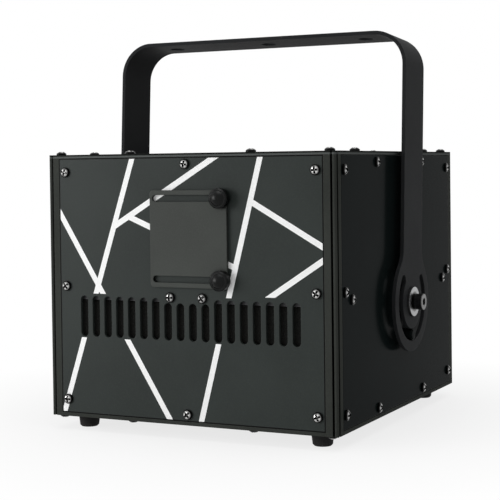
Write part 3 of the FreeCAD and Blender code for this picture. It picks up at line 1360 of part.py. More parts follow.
inlet_pins = []
for index, (pin_column, pin_row) in enumerate(((-1, -1), (1, -1), (0, 1))):
    inlet_pins.append(block(
        f"inlet_pin_{index}",
        centred(f"{INLET_X} + {pin_column} * inlet_pin_pitch", "inlet_pin_width"),
        PIN_Y,
        centred(f"{MOUTH_Z} + {pin_row} * inlet_pin_height / 2", "inlet_pin_height"),
    ))
as_node(fused("inlet", [inlet_hollow] + inlet_pins), "power_inlet")

# Rocker of the mains switch, on two pins, tipped to its off side
rocker_bar, rocker_sketch = flat_piece("rocker_bar", "x", "-rocker_width / 2", "rocker_width / 2")
ROCKER_FACE = "(rocker_axis_depth + rocker_proud)"
draw_outline(rocker_sketch, [
    ("-rocker_tail", "-rocker_height / 2"),
    (ROCKER_FACE, "-rocker_height / 2"),
    (f"{ROCKER_FACE} - rocker_hollow", "0"),
    (ROCKER_FACE, "rocker_height / 2"),
    ("-rocker_tail", "rocker_height / 2"),
])
pin_span = centred("0", "rocker_width + 2 * rocker_pin_length")
rocker_pins = rod("rocker_pins", "x", pin_span, "0", "0", "rocker_pin")
rocker_form = fused("rocker_form", [rocker_bar, rocker_pins])
rocker = turned("rocker", rocker_form, (1, 0, 0), "rocker_tilt", INLET_X, ROCKER_Y, ROCKER_Z)
as_node(rocker, "power_rocker")

# Key switch: a collared barrel with its nut behind the panel, and the key in its plug
KEY_X = f"({HALF_WIDTH} - key_inset)"
KEY_Z = f"({FLOOR} + key_level)"
COLLAR_FACE = f"({HALF_DEPTH} + key_collar_height)"
BARREL_END = f"({HALF_DEPTH} - key_barrel_depth)"
barrel_parts = [
    rod("key_collar_disc", "y", KEY_X, (HALF_DEPTH, COLLAR_FACE), KEY_Z, "key_collar"),
    rod("key_barrel_rod", "y", KEY_X, (BARREL_END, COLLAR_FACE), KEY_Z, "key_barrel"),
    rod("key_nut_disc", "y", KEY_X, (f"{INNER_Y} - key_nut_thickness", INNER_Y), KEY_Z, "key_nut"),
]
PLUG_Y = (BARREL_END, COLLAR_FACE)
plug_bore = rod("key_plug_bore", "y", KEY_X, PLUG_Y, KEY_Z, "key_plug + key_plug_clearance")
as_node(cut("key_barrel_bored", fused("key_barrel_solid", barrel_parts), [plug_bore]), "key_switch")
BOW_Y = f"({COLLAR_FACE} + key_blade_length)"
BOW_X = centred(KEY_X, "key_thickness")
key_parts = [
    rod("key_plug_rod", "y", KEY_X, PLUG_Y, KEY_Z, "key_plug"),
    block("key_shank", BOW_X, (f"{COLLAR_FACE} - key_thickness", BOW_Y), centred(KEY_Z, "key_blade")),
    rod("key_bow_disc", "x", BOW_X, BOW_Y, KEY_Z, "key_bow"),
]
ring_hole = rod("key_ring", "x", BOW_X, f"{BOW_Y} + key_bow / 3", KEY_Z, "key_ring_hole")
as_node(cut("key_holed", fused("key_solid", key_parts), [ring_hole]), "key")

# Signal sockets, one above the other: shells on flanges, the input with a cup and pins, the output with holes
SOCKET_X = f"({FAN_X} + fan_size / 2 + socket_fan_gap + socket_flange_width / 2)"
SOCKET_IN_Z = f"({FLOOR} + socket_in_level)"
SOCKET_OUT_Z = f"({FLOOR} + socket_out_level)"
SOCKET_FACE = f"({HALF_DEPTH} + socket_flange)"
SOCKET_PIN_ANGLES = (30, 150, 270)


def socket_screw_places(z):
    """Where a socket's flange is screwed on, at two opposite corners, as (x, z)."""
    return [(f"{SOCKET_X} - {side} * socket_screw_x", f"{z} + {side} * socket_screw_z") for side in SIDES]


def socket_shell(name, z):
    """The flange and shell that both sockets share."""
    flange, sketch = flat_piece(f"{name}_flange", "y", HALF_DEPTH, SOCKET_FACE)
    draw_rectangle(
        sketch,
        centred(SOCKET_X, "socket_flange_width"),
        centred(z, "socket_flange_height"),
        "socket_corner",
    )
    for screw_x, screw_z in socket_screw_places(z):
        draw_circle(sketch, screw_x, screw_z, "small_shank + screw_clearance")
    shell_y = (f"{HALF_DEPTH} - socket_depth", HALF_DEPTH)
    return fused(f"{name}_shell", [flange, rod(f"{name}_tube", "y", SOCKET_X, shell_y, z, "socket_shell")])


def socket_contacts(name, z, stretch, radius):
    """Three round contacts, or their holes, on the socket's pin circle."""
    contacts = []
    for angle in SOCKET_PIN_ANGLES:
        contact_x = f"{SOCKET_X} + socket_pin_circle * cos({angle})"
        contact_z = f"{z} + socket_pin_circle * sin({angle})"
        contacts.append(rod(f"{name}_contact_{angle}", "y", contact_x, stretch, contact_z, radius))
    return contacts


CUP_FLOOR = f"({SOCKET_FACE} - socket_cup_depth)"
cup = rod("signal_in_cup", "y", SOCKET_X, (CUP_FLOOR, SOCKET_FACE), SOCKET_IN_Z, "socket_cup")
cup_shell = cut("signal_in_hollow", socket_shell("signal_in", SOCKET_IN_Z), [cup])
pin_y = (f"{CUP_FLOOR} - socket_pin", f"{CUP_FLOOR} + socket_pin_length")
cup_pins = socket_contacts("signal_in", SOCKET_IN_Z, pin_y, "socket_pin")
as_node(fused("signal_in", [cup_shell] + cup_pins), "signal_in_socket")

plug_gap_y = (f"{SOCKET_FACE} - socket_pin_length", SOCKET_FACE)
gap_outer = rod("signal_out_gap_outer", "y", SOCKET_X, plug_gap_y, SOCKET_OUT_Z, "socket_cup")
core_radius = "socket_cup - socket_plug_gap"
gap_inner = rod("signal_out_gap_inner", "y", SOCKET_X, plug_gap_y, SOCKET_OUT_Z, core_radius)
gap_ring = cut("signal_out_gap", gap_outer, [gap_inner])
contact_holes = socket_contacts("signal_out", SOCKET_OUT_Z, plug_gap_y, "socket_pin + thread_clearance")
holed_shell = cut("signal_out", socket_shell("signal_out", SOCKET_OUT_Z), [gap_ring] + contact_holes)
as_node(holed_shell, "signal_out_socket")

# Show-data socket, above the fan: a flat flange, a five-sided metal shell before it and the body behind
DATA_FACE = f"({HALF_DEPTH} + data_flange)"
DATA_Z = f"({FLOOR} + data_level)"
DATA_SCREWS = [(f"{FAN_X} + {side} * data_screw_spacing / 2", DATA_Z) for side in SIDES]
data_flange, data_sketch = flat_piece("data_flange_sheet", "y", HALF_DEPTH, DATA_FACE)
draw_rectangle(
    data_sketch,
    centred(FAN_X, "data_flange_width"),
    centred(DATA_Z, "data_flange_height"),
    "socket_corner",
)
for x, z in DATA_SCREWS:
    draw_circle(data_sketch, x, z, "small_shank + screw_clearance")
data_front, data_front_sketch = flat_piece("data_shell", "y", HALF_DEPTH, f"{DATA_FACE} + data_shell_reach")
shell_left, shell_right = centred(FAN_X, "data_shell_width")
shell_low, shell_high = centred(DATA_Z, "data_shell_height")
draw_outline(data_front_sketch, [
    (f"{shell_left} + data_shell_slope", shell_low),
    (f"{shell_right} - data_shell_slope", shell_low),
    (shell_right, shell_high),
    (shell_left, shell_high),
])
data_body = block(
    "data_body",
    centred(FAN_X, "data_shell_width"),
    (f"{HALF_DEPTH} - data_depth", HALF_DEPTH),
    centred(DATA_Z, "data_shell_height"),
)
as_node(fused("data_socket", [data_flange, data_front, data_body]), "show_data_socket")

# Menu unit: a bezel with the display's recess, and a box behind it with the buttons' bores
MENU_Z = f"({ROOF} - menu_drop)"
BEZEL_FACE = f"({HALF_DEPTH} + menu_bezel)"
MENU_SCREWS = [(f"{side} * menu_screw_spacing / 2", MENU_Z) for side in SIDES]
BUTTON_PLACES = [
    (f"button_x - {column} * button_pitch", f"{MENU_Z} + {row} * button_pitch / 2")
    for row in (1, -1)
    for column in (0, 1)
]
bezel, bezel_sketch = flat_piece("menu_bezel_sheet", "y", HALF_DEPTH, BEZEL_FACE)
draw_rectangle(bezel_sketch, centred("0", "menu_width"), centred(MENU_Z, "menu_height"), "menu_corner")
for x, z in MENU_SCREWS:
    draw_circle(bezel_sketch, x, z, "small_shank + screw_clearance")
menu_box = block(
    "menu_box",
    centred("0", "menu_box_width"),
    (f"{HALF_DEPTH} - menu_box_depth", HALF_DEPTH),
    centred(MENU_Z, "menu_box_height"),
)
display_recess = block(
    "display_recess_form",
    centred("display_x", "display_width"),
    (f"{BEZEL_FACE} - display_recess", BEZEL_FACE),
    centred(MENU_Z, "display_height"),
)
BUTTON_BACK = f"({BEZEL_FACE} - button_depth)"
button_bores = []
for index, (x, z) in enumerate(BUTTON_PLACES):
    bore_y = (f"{BUTTON_BACK} - button_stroke - button_end_gap", BEZEL_FACE)
    button_bores.append(rod(f"button_bore_{index}", "y", x, bore_y, z, "button_radius + button_clearance"))
    button_y = (BUTTON_BACK, f"{BEZEL_FACE} + button_proud")
    as_node(rod(f"button_cap_{index}", "y", x, button_y, z, "button_radius"), f"menu_button_{index + 1}")
menu_solid = fused("menu_solid", [bezel, menu_box])
as_node(cut("menu_bored", menu_solid, [display_recess] + button_bores), "menu_unit")

# Rear panel, with a cut-out for everything that passes through it
REAR_PANEL_Y = (INNER_Y, HALF_DEPTH)
SOCKET_SCREWS = socket_screw_places(SOCKET_IN_Z) + socket_screw_places(SOCKET_OUT_Z)
rear_panel, rear_sketch = flat_piece("rear_sheet", "y", *REAR_PANEL_Y)
draw_rectangle(rear_sketch, centred("0", PANEL_WIDTH), PANEL_LEVEL)
rear_windows = (
    (INLET_X, INLET_Z, "inlet_body_width", "inlet_body_height"),
    (FAN_X, DATA_Z, "data_shell_width", "data_shell_height"),
    ("0", MENU_Z, "menu_box_width", "menu_box_height"),
)
for x, z, width, height in rear_windows:
    draw_rectangle(
        rear_sketch,
        centred(x, f"{width} + 2 * cutout_clearance"),
        centred(z, f"{height} + 2 * cutout_clearance"),
    )
rear_circles = [
    (FAN_X, FAN_Z, "fan_bore"),
    (KEY_X, KEY_Z, "key_barrel + cutout_clearance"),
    (SOCKET_X, SOCKET_IN_Z, "socket_shell + cutout_clearance"),
    (SOCKET_X, SOCKET_OUT_Z, "socket_shell + cutout_clearance"),
]
rear_circles += [(x, z, SCREW_HOLE) for x, z in end_panel_screws + FAN_HOLES]
rear_circles += [(x, z, SMALL_THREAD) for x, z in SOCKET_SCREWS + INLET_SCREWS + DATA_SCREWS + MENU_SCREWS]
for x, z, radius in rear_circles:
    draw_circle(rear_sketch, x, z, radius)
as_node(rear_panel, "rear_panel")

# Screws, in groups
driven("front_panel_screws", panel_screw, [("front", x, f"-{HALF_DEPTH}", z) for x, z in end_panel_screws])
driven("rear_panel_screws", panel_screw, [("rear", x, HALF_DEPTH, z) for x, z in end_panel_screws])
driven(
    "side_panel_screws",
    panel_screw,
    [("right", HALF_WIDTH, y, z) for y, z in side_panel_screws]
    + [("left", f"-{HALF_WIDTH}", y, z) for y, z in side_panel_screws],
)
driven("top_cover_screws", panel_screw, [("up", x, y, ROOF) for x, y in cover_screws])
driven("base_plate_screws", panel_screw, [("down", x, y, FLOOR) for x, y in cover_screws])
driven(
    "optics_plate_screws",
    panel_screw,
    [("front", x, f"-{HALF_DEPTH}", z) for x, z in optics_front_screws]
    + [("right", HALF_WIDTH, y, z) for y, z in optics_side_screws]
    + [("left", f"-{HALF_WIDTH}", y, z) for y, z in optics_side_screws],
)
driven("fan_screws", panel_screw, [("rear", x, LUG_Y[1], z) for x, z in FAN_HOLES])
driven(
    "socket_screws",
    small_screw,
    [("rear", x, SOCKET_FACE, z) for x, z in SOCKET_SCREWS]
    + [("rear", x, FLANGE_FACE, z) for x, z in INLET_SCREWS]
    + [("rear", x, DATA_FACE, z) for x, z in DATA_SCREWS]
    + [("rear", x, BEZEL_FACE, z) for x, z in MENU_SCREWS],
)

# Check every object, then write each piece's solid to its own file
doc.recompute()
for item in doc.Objects:
    if "Invalid" in item.State or "Error" in item.State:
        raise RuntimeError(f"{item.Label} failed: {item.State}")
for item in nodes:
    if item.Shape.isNull() or not item.Shape.isValid() or not item.Shape.Solids:
        raise RuntimeError(f"{item.Label} has no sound solid")
os.makedirs("parts", exist_ok=True)
for item in nodes:
    item.Shape.exportStep(f"parts/{item.Label}.step")
print(f"{len(nodes)} pieces, {sum(len(item.Shape.Solids) for item in nodes)} solids")
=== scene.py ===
import math
import bpy
from mathutils import Matrix, Vector


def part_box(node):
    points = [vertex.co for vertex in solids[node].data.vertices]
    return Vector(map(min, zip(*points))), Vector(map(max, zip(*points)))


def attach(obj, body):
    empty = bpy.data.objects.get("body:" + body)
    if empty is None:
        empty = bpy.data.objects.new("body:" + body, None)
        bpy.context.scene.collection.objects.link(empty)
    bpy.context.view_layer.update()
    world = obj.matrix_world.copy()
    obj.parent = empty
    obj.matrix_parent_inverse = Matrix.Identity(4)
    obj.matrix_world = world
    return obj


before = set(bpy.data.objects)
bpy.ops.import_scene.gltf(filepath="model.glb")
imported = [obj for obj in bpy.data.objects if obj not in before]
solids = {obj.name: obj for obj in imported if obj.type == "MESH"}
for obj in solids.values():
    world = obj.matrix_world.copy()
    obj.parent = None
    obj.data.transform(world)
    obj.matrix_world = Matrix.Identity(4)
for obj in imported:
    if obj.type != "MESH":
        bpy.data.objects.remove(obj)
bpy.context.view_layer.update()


# Base plate, top cover and corner posts.
# Flat sheet and extruded aluminium bars, screwed together as the frame and sprayed a satin charcoal black;
# the paint lies in a fine orange peel, is rubbed paler and has a painted highlight along sharp edges, and
# painted shade in grooves.
def feed(finish, step, inputs):
    """Sets a step's inputs: links each to another step's output, or gives it a plain value."""
    for name, value in inputs.items():
        if isinstance(value, bpy.types.NodeSocket):
            finish.node_tree.links.new(value, step.inputs[name])
        else:
            step.inputs[name].default_value = value


def add_step(finish, kind, inputs=None, **settings):
    """Adds one step to a finish, with its settings and inputs."""
    step = finish.node_tree.nodes.new(kind)
    for name, value in settings.items():
        setattr(step, name, value)
    feed(finish, step, inputs or {})
    return step


def begin_finish(name):
    """A new finish, its shader, and the coordinates of the piece that has it."""
    finish = bpy.data.materials.new(name)
    finish.use_nodes = True
    shader = finish.node_tree.nodes["Principled BSDF"]
    place = add_step(finish, "ShaderNodeTexCoord").outputs["Object"]
    return finish, shader, place


def speckle(finish, place, grain_size, detail=2.0):
    """Cloudy noise whose grains are about grain_size metres across."""
    noise = {"Vector": place, "Scale": 1 / grain_size, "Detail": detail}
    return add_step(finish, "ShaderNodeTexNoise", noise).outputs["Fac"]


def spread(finish, value, low, high, to_low=0.0, to_high=1.0):
    """Stretches the part of a value from low to high over to_low to to_high."""
    limits = {"From Min": low, "From Max": high, "To Min": to_low, "To Max": to_high}
    return add_step(finish, "ShaderNodeMapRange", {"Value": value, **limits}).outputs["Result"]


def reckon(finish, operation, *values):
    """One step of arithmetic on values."""
    return add_step(finish, "ShaderNodeMath", dict(enumerate(values)), operation=operation).outputs[0]


def product(finish, first, second):
    """Multiplies two values."""
    return reckon(finish, "MULTIPLY", first, second)


def within(finish, value, low, high):
    """One where a value is between low and high, and otherwise nothing."""
    return reckon(finish, "COMPARE", value, (low + high) / 2, (high - low) / 2)


def parts_of(finish, vector):
    """The X, Y and Z parts of a vector."""
    return add_step(finish, "ShaderNodeSeparateXYZ", {"Vector": vector}).outputs


def dot(finish, first, second):
    """How far one vector runs along another."""
    step = add_step(finish, "ShaderNodeVectorMath", {0: first, 1: second}, operation="DOT_PRODUCT")
    return step.outputs["Value"]


def opaque(colour):
    """A colour as a step takes it: another step's output, or three numbers and full cover."""
    return colour if isinstance(colour, bpy.types.NodeSocket) else (*colour, 1.0)


def blend_colours(finish, amount, first, second):
    """Goes from the first colour to the second with amount."""
    factor, colour_a, colour_b, colour_out = 0, 6, 7, 2
    inputs = {factor: amount, colour_a: opaque(first), colour_b: opaque(second)}
    return add_step(finish, "ShaderNodeMix", inputs, data_type="RGBA").outputs[colour_out]


def shades(colour, change):
    """A darker and a lighter shade of one colour."""
    return [tuple(channel * scale for channel in colour) for scale in (1 - change, 1 + change)]


def rounded_edges(finish, radius):
    """The normal with its edges eased to a radius, and how near each point is to such an edge."""
    barely_turned, well_turned = 0.99, 0.86
    eased = add_step(finish, "ShaderNodeBevel", {"Radius": radius}, samples=6).outputs["Normal"]
    flat = add_step(finish, "ShaderNodeNewGeometry").outputs["Normal"]
    return eased, spread(finish, dot(finish, eased, flat), barely_turned, well_turned)


def hollows(finish, reach, in_the_open, deep_down):
    """One deep in a groove or under an edge, and nothing where a surface lies open as far as reach; it
    marks where shade is painted.
    """
    sky = add_step(finish, "ShaderNodeAmbientOcclusion", {"Distance": reach}, samples=8).outputs["AO"]
    return spread(finish, sky, in_the_open, deep_down)


def raise_pattern(finish, shader, pattern, strength, depth, eased=None):
    """Gives a surface the fine relief of a pattern, over its eased edges where it has them."""
    relief = {"Height": pattern, "Strength": strength, "Distance": depth}
    if eased is not None:
        relief["Normal"] = eased
    feed(finish, shader, {"Normal": add_step(finish, "ShaderNodeBump", relief).outputs["Normal"]})


def sprayed_paint(name, colour, edge_wear_and_highlight, roughness, gloss, peel=0.22, in_the_open=0.8, deep_down=0.35):
    """Spray paint with orange peel, a faint mottle, edges rubbed paler with a painted highlight, and
    painted shade in grooves; also gives what print on it needs.
    """
    edge_radius, groove_reach, groove_shade = 0.0007, 0.005, (0.001, 0.001, 0.001)
    mottle_size, fleck_size, scuff_size = 0.07, 0.0011, 0.009
    roughness_change, peel_depth = 0.07, 0.0002
    finish, shader, place = begin_finish(name)
    eased, edge = rounded_edges(finish, edge_radius)
    mottle = spread(finish, speckle(finish, place, mottle_size, detail=4.0), low=0.35, high=0.65)
    coat = blend_colours(finish, mottle, *shades(colour, change=0.1))
    flecks = speckle(finish, place, fleck_size, detail=3.0)
    fleck_amount = spread(finish, flecks, low=0.45, high=0.75, to_high=0.35)
    coat = blend_colours(finish, fleck_amount, coat, shades(colour, change=0.45)[1])
    # paler along the edges: partly rubbed paint, partly a painted highlight
    scuffs_and_highlight = spread(finish, speckle(finish, place, scuff_size, detail=5.0), low=0.35, high=0.6, to_low=0.35)
    coat = blend_colours(finish, product(finish, edge, scuffs_and_highlight), coat, edge_wear_and_highlight)
    # painted shade: near black deep in grooves and under edges
    shaded = hollows(finish, groove_reach, in_the_open, deep_down)
    coat = blend_colours(finish, shaded, coat, groove_shade)
    dullness = spread(finish, flecks, 0.3, 0.7, roughness - roughness_change, roughness + roughness_change)
    feed(finish, shader, {"Base Color": coat, "Roughness": dullness, "Specular IOR Level": gloss})
    raise_pattern(finish, shader, flecks, peel, peel_depth, eased)
    return finish, shader, place, coat


def dress(finish, *names):
    """Gives a finish to the solids of these names."""
    for name in names:
        for holder in solids[name].material_slots:
            holder.link = "OBJECT"
            holder.material = finish


# the second colour of each paint is its edge colour: partly rubbed paint, partly a painted highlight
frame_colour, frame_edge_wear_and_highlight = (0.039, 0.042, 0.038), (0.05, 0.053, 0.049)
frame_roughness, frame_gloss = 0.45, 0.004
frame_finish = sprayed_paint("frame_paint", frame_colour, frame_edge_wear_and_highlight, frame_roughness, frame_gloss)[0]
posts = [f"corner_post_{end}_{side}" for end in ("front", "rear") for side in ("left", "right")]
dress(frame_finish, "base_plate", *posts)
cover_finish, cover_shader, cover_place, cover_coat = sprayed_paint(
    "cover_paint", frame_colour, frame_edge_wear_and_highlight, frame_roughness, frame_gloss
)
cover_low, cover_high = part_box("top_cover")
cover_painted_light_lines = (
    # lower edge, upper edge, colour: a painted highlight along the bottom, and a painted shade line under
    # the top
    (cover_low.z + 0.0003, cover_low.z + 0.0016, (0.1, 0.108, 0.106)),
    (cover_high.z - 0.0011, cover_high.z - 0.0001, (0.006, 0.007, 0.007)),
)
cover_painted_line_strength = 0.85
cover_up = parts_of(cover_finish, cover_place)["Z"]
for line_low, line_high, line_colour in cover_painted_light_lines:
    line = product(cover_finish, within(cover_finish, cover_up, line_low, line_high), cover_painted_line_strength)
    cover_coat = blend_colours(cover_finish, line, cover_coat, line_colour)
feed(cover_finish, cover_shader, {"Base Color": cover_coat})
dress(cover_finish, "top_cover")


# Front panel.
# A sheet of aluminium with punched slots, sprayed like the frame and printed with straight white stripes;
# the print stops short of the slots and runs out to the sheet's edges, where a black line along the joints
# is painted shade.
def stripe_mask(finish, place, axes, stripe):
    """One on a stripe of the print, cut off square with the sheet."""
    (start_x, start_z), (end_x, end_z), limits_across, limits_up = stripe
    run = Vector((end_x - start_x, 0, end_z - start_z)).normalized()
    side = Vector((run.z, 0, -run.x))
    middle = side.dot(Vector((start_x, 0, start_z + box_floor)))
    mask = within(finish, dot(finish, place, side), middle - stripe_width / 2, middle + stripe_width / 2)
    mask = product(finish, mask, within(finish, axes["X"], *limits_across))
    return product(finish, mask, within(finish, axes["Z"], *(limit + box_floor for limit in limits_up)))


sheet_colour, sheet_edge_wear_and_highlight = (0.025, 0.0304, 0.0282), (0.042, 0.048, 0.045)
sheet_roughness, sheet_gloss = 0.45, 0.12
ink_white, ink_patch_size, ink_grain_size = (0.97, 0.975, 0.97), 0.02, 0.0009
joint_width, joint_shade = 0.0005, (0.002, 0.002, 0.002)
face_depth = 0.0001
box_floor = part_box("base_plate")[0].z
slot_band = (0.0642, 0.0995)
stripe_width = 0.0045
all_across = (-0.2, 0.2)
stripes = (
    # from (across, up), to (across, up), limits across, limits up; up is from the box's floor
    ((-0.0467, 0.2072), (-0.1131, 0.0031), all_across, (0.0031, 0.2072)),
    ((-0.1153, 0.1645), (-0.0156, 0.0033), all_across, (0.0033, 0.2)),
    ((0.0265, 0.2071), (-0.0632, 0.1536), (-0.064, 0.2), (0.1, 0.2071)),
    ((-0.0504, 0.1608), (0.0425, 0.1224), (-0.051, 0.0425), (0.1, 0.2)),
    ((0.0643, 0.2070), (0.0118, 0.0039), all_across, (0.0039, 0.2070)),
    ((0.0572, 0.1720), (0.1144, 0.1393), (0.0555, 0.2), (0.1, 0.2)),
    ((0.1142, 0.1292), (0.0710, 0.1010), (0.0, 0.2), (0.1010, 0.2)),
)
front_finish, front_shader, front_place, front_coat = sprayed_paint(
    "front_panel_paint", sheet_colour, sheet_edge_wear_and_highlight, sheet_roughness, sheet_gloss,
    in_the_open=0.55, deep_down=0.2,
)
front_axes = parts_of(front_finish, front_place)
print_mask = stripe_mask(front_finish, front_place, front_axes, stripes[0])
for stripe in stripes[1:]:
    mask = stripe_mask(front_finish, front_place, front_axes, stripe)
    print_mask = reckon(front_finish, "MAXIMUM", print_mask, mask)
in_band = within(front_finish, front_axes["Z"], *(limit + box_floor for limit in slot_band))
print_mask = product(front_finish, print_mask, reckon(front_finish, "SUBTRACT", 1.0, in_band))
sheet_low, sheet_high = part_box("front_panel")
on_face = within(front_finish, front_axes["Y"], sheet_low.y - face_depth, sheet_low.y + face_depth)
print_mask = product(front_finish, print_mask, on_face)
ink_grain = speckle(front_finish, front_place, ink_grain_size, detail=4.0)
ink_cover = spread(front_finish, ink_grain, low=0.25, high=0.45, to_low=0.9)
ink_patches = speckle(front_finish, front_place, ink_patch_size)
ink = blend_colours(front_finish, ink_patches, *shades(ink_white, change=0.02))
printed = blend_colours(front_finish, product(front_finish, print_mask, ink_cover), front_coat, ink)
# painted shade: a thin black line along the sheet's edges, in the joints
clear_across = within(front_finish, front_axes["X"], sheet_low.x + joint_width, sheet_high.x - joint_width)
clear_up = within(front_finish, front_axes["Z"], sheet_low.z + joint_width, sheet_high.z - joint_width)
clear_of_joints = product(front_finish, clear_across, clear_up)
printed = blend_colours(front_finish, clear_of_joints, joint_shade, printed)
feed(front_finish, front_shader, {"Base Color": printed})
dress(front_finish, "front_panel")


# Side panels, and the pegs that stop the yoke.
# Plain aluminium sheets let in between the posts and screwed on, with a steel peg near each pivot;
# their paint is smoother than the front's, so the yoke shows in it, and is painted blacker as the shade of
# the sides.
# painted shade: the sides' paint is far darker than the front's, which the rear shares
side_shaded_colour, side_edge_wear_and_highlight = (0.0055, 0.008, 0.008), (0.018, 0.021, 0.021)
side_finish = sprayed_paint(
    "side_panel_paint", side_shaded_colour, side_edge_wear_and_highlight, roughness=0.18, gloss=0.0055, peel=0.04
)[0]
dress(side_finish, "side_panel_left", "side_panel_right", "stop_pegs")


# Rear panel.
# An aluminium sheet punched for the fan and the sockets, screwed on between the rear posts;
# it has the front's paint without the print.
rear_finish = sprayed_paint("rear_panel_paint", sheet_colour, sheet_edge_wear_and_highlight, sheet_roughness, sheet_gloss)[0]
dress(rear_finish, "rear_panel")


# Panel screws.
# Nickel-plated pan-head steel screws with a pressed cross, driven by hand, so each stands at its own angle;
# the crowns are bright, and the crosses and the heads' flanks are darkened with painted shade.
def leaning(finish, axes, level, steep):
    """One where a surface turns away from all the given axes, as on the flank of a screw's head."""
    facing = add_step(finish, "ShaderNodeNewGeometry").outputs["Normal"]
    facing = add_step(finish, "ShaderNodeVectorMath", {0: facing}, operation="ABSOLUTE").outputs["Vector"]
    along = parts_of(finish, facing)
    most = along[axes[0]]
    for axis in axes[1:]:
        most = reckon(finish, "MAXIMUM", most, along[axis])
    return spread(finish, most, level, steep)


def plated_metal(name, colour, roughness, painted_shade, head_axes=""):
    """Bright metal with rubbed marks and fingerprints, and painted shade in hollows and on heads' flanks;
    also gives what later wear on it needs.
    """
    edge_radius, hollow_reach, smoother, duller = 0.00025, 0.0022, 0.06, 0.1
    cloud_size, mark_size, mark_strength, mark_depth = 0.004, 0.00035, 0.12, 0.0001
    finish, shader, place = begin_finish(name)
    eased = rounded_edges(finish, edge_radius)[0]
    clouds = speckle(finish, place, cloud_size, detail=4.0)
    metal = blend_colours(finish, clouds, *shades(colour, change=0.12))
    # painted shade: the metal goes dark in recesses, crosses and under edges
    shaded = hollows(finish, hollow_reach, in_the_open=0.985, deep_down=0.9)
    metal = blend_colours(finish, shaded, metal, painted_shade)
    if head_axes:
        # painted shade on the flanks of screw heads
        metal = blend_colours(finish, leaning(finish, head_axes, level=0.9, steep=0.8), metal, painted_shade)
    dullness = spread(finish, clouds, 0.3, 0.7, roughness - smoother, roughness + duller)
    feed(finish, shader, {"Base Color": metal, "Metallic": 1.0, "Roughness": dullness})
    raise_pattern(finish, shader, speckle(finish, place, mark_size), mark_strength, mark_depth, eased)
    return finish, shader, place, metal


bright_nickel, shaded_nickel = (0.57, 0.57, 0.56), (0.4, 0.4, 0.395)
screw_roughness, screw_painted_shade = 0.24, (0.004, 0.004, 0.004)
screw_sets = {
    # the axes that the heads face along, and the screws; those of the sides and the optics plate get a
    # darker nickel as painted shade
    "Y": ("front_panel_screws", "rear_panel_screws", "fan_screws", "socket_screws"),
    "X": ("side_panel_screws",),
    "Z": ("top_cover_screws", "base_plate_screws"),
    "XY": ("optics_plate_screws",),
}
for head_axes, screw_names in screw_sets.items():
    finish_name = f"screw_nickel_{head_axes.lower()}"
    # painted shade: a darker nickel for heads that face the sides
    nickel = shaded_nickel if "X" in head_axes else bright_nickel
    dress(plated_metal(finish_name, nickel, screw_roughness, screw_painted_shade, head_axes)[0], *screw_names)


# Yoke.
# One length of steel flat bar, bent twice over a former, cut to a slotted disc at each end and sprayed;
# the paint is rubbed paler along the bar's edges by clamps and hands, and has a painted highlight there.
yoke_colour, yoke_edge_wear_and_highlight = (0.02, 0.021, 0.022), (0.05, 0.052, 0.054)
dress(sprayed_paint("yoke_paint", yoke_colour, yoke_edge_wear_and_highlight, roughness=0.55, gloss=0.02)[0], "yoke")


# Pivots.
# Blackened steel cap screws through large zinc-plated washers into nut bars behind the side panels;
# the cap screws' ends are rubbed bright and carry a painted highlight, and plastic spacers keep the yoke
# off the panels.
def moulded_plastic(name, colour, roughness, gloss, grain_size):
    """Moulded plastic with the fine grain of a spark-cut mould, and a painted highlight along its edges."""
    edge_radius, edge_strength, haze_size = 0.0005, 0.5, 0.012
    grain_strength, grain_depth, smoother, duller = 0.3, 0.00015, 0.06, 0.08
    finish, shader, place = begin_finish(name)
    eased, edge = rounded_edges(finish, edge_radius)
    haze = spread(finish, speckle(finish, place, haze_size, detail=4.0), low=0.35, high=0.7)
    skin = blend_colours(finish, haze, *shades(colour, change=0.14))
    # painted highlight: the skin is paler along the edges
    skin = blend_colours(finish, product(finish, edge, edge_strength), skin, shades(colour, change=0.9)[1])
    dullness = spread(finish, haze, 0.0, 1.0, roughness - smoother, roughness + duller)
    feed(finish, shader, {"Base Color": skin, "Roughness": dullness, "Specular IOR Level": gloss})
    grain = speckle(finish, place, grain_size, detail=3.0)
    raise_pattern(finish, shader, grain, grain_strength, grain_depth, eased)
    return finish


black_oxide, oxide_painted_shade, rubbed_and_highlit_steel = (0.016, 0.016, 0.017), (0.003, 0.003, 0.003), (0.13, 0.13, 0.13)
bright_from, bright_to = 0.0009, 0.0005
dress(plated_metal("blackened_steel", black_oxide, roughness=0.4, painted_shade=oxide_painted_shade)[0], "pivot_nut_bars")
cap_finish, cap_shader, cap_place, cap_coat = plated_metal(
    "rubbed_cap_screw", black_oxide, roughness=0.36, painted_shade=oxide_painted_shade
)
cap_along = reckon(cap_finish, "ABSOLUTE", parts_of(cap_finish, cap_place)["X"])
cap_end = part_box("pivot_bolts")[1].x
# the end is bright: partly rubbed steel, partly a painted highlight
cap_rub_and_highlight = spread(cap_finish, cap_along, cap_end - bright_from, cap_end - bright_to)
feed(cap_finish, cap_shader, {"Base Color": blend_colours(cap_finish, cap_rub_and_highlight, cap_coat, rubbed_and_highlit_steel)})
dress(cap_finish, "pivot_bolts")
zinc_colour, zinc_painted_shade = (0.33, 0.335, 0.34), (0.08, 0.08, 0.08)
zinc_finish = plated_metal("zinc_plate", zinc_colour, roughness=0.34, painted_shade=zinc_painted_shade)[0]
dress(zinc_finish, "pivot_washers")
plastic_black = (0.012, 0.012, 0.013)
plastic_finish = moulded_plastic(
    "black_moulding", plastic_black, roughness=0.48, gloss=0.4, grain_size=0.0006
)
dress(plastic_finish, "pivot_spacers")


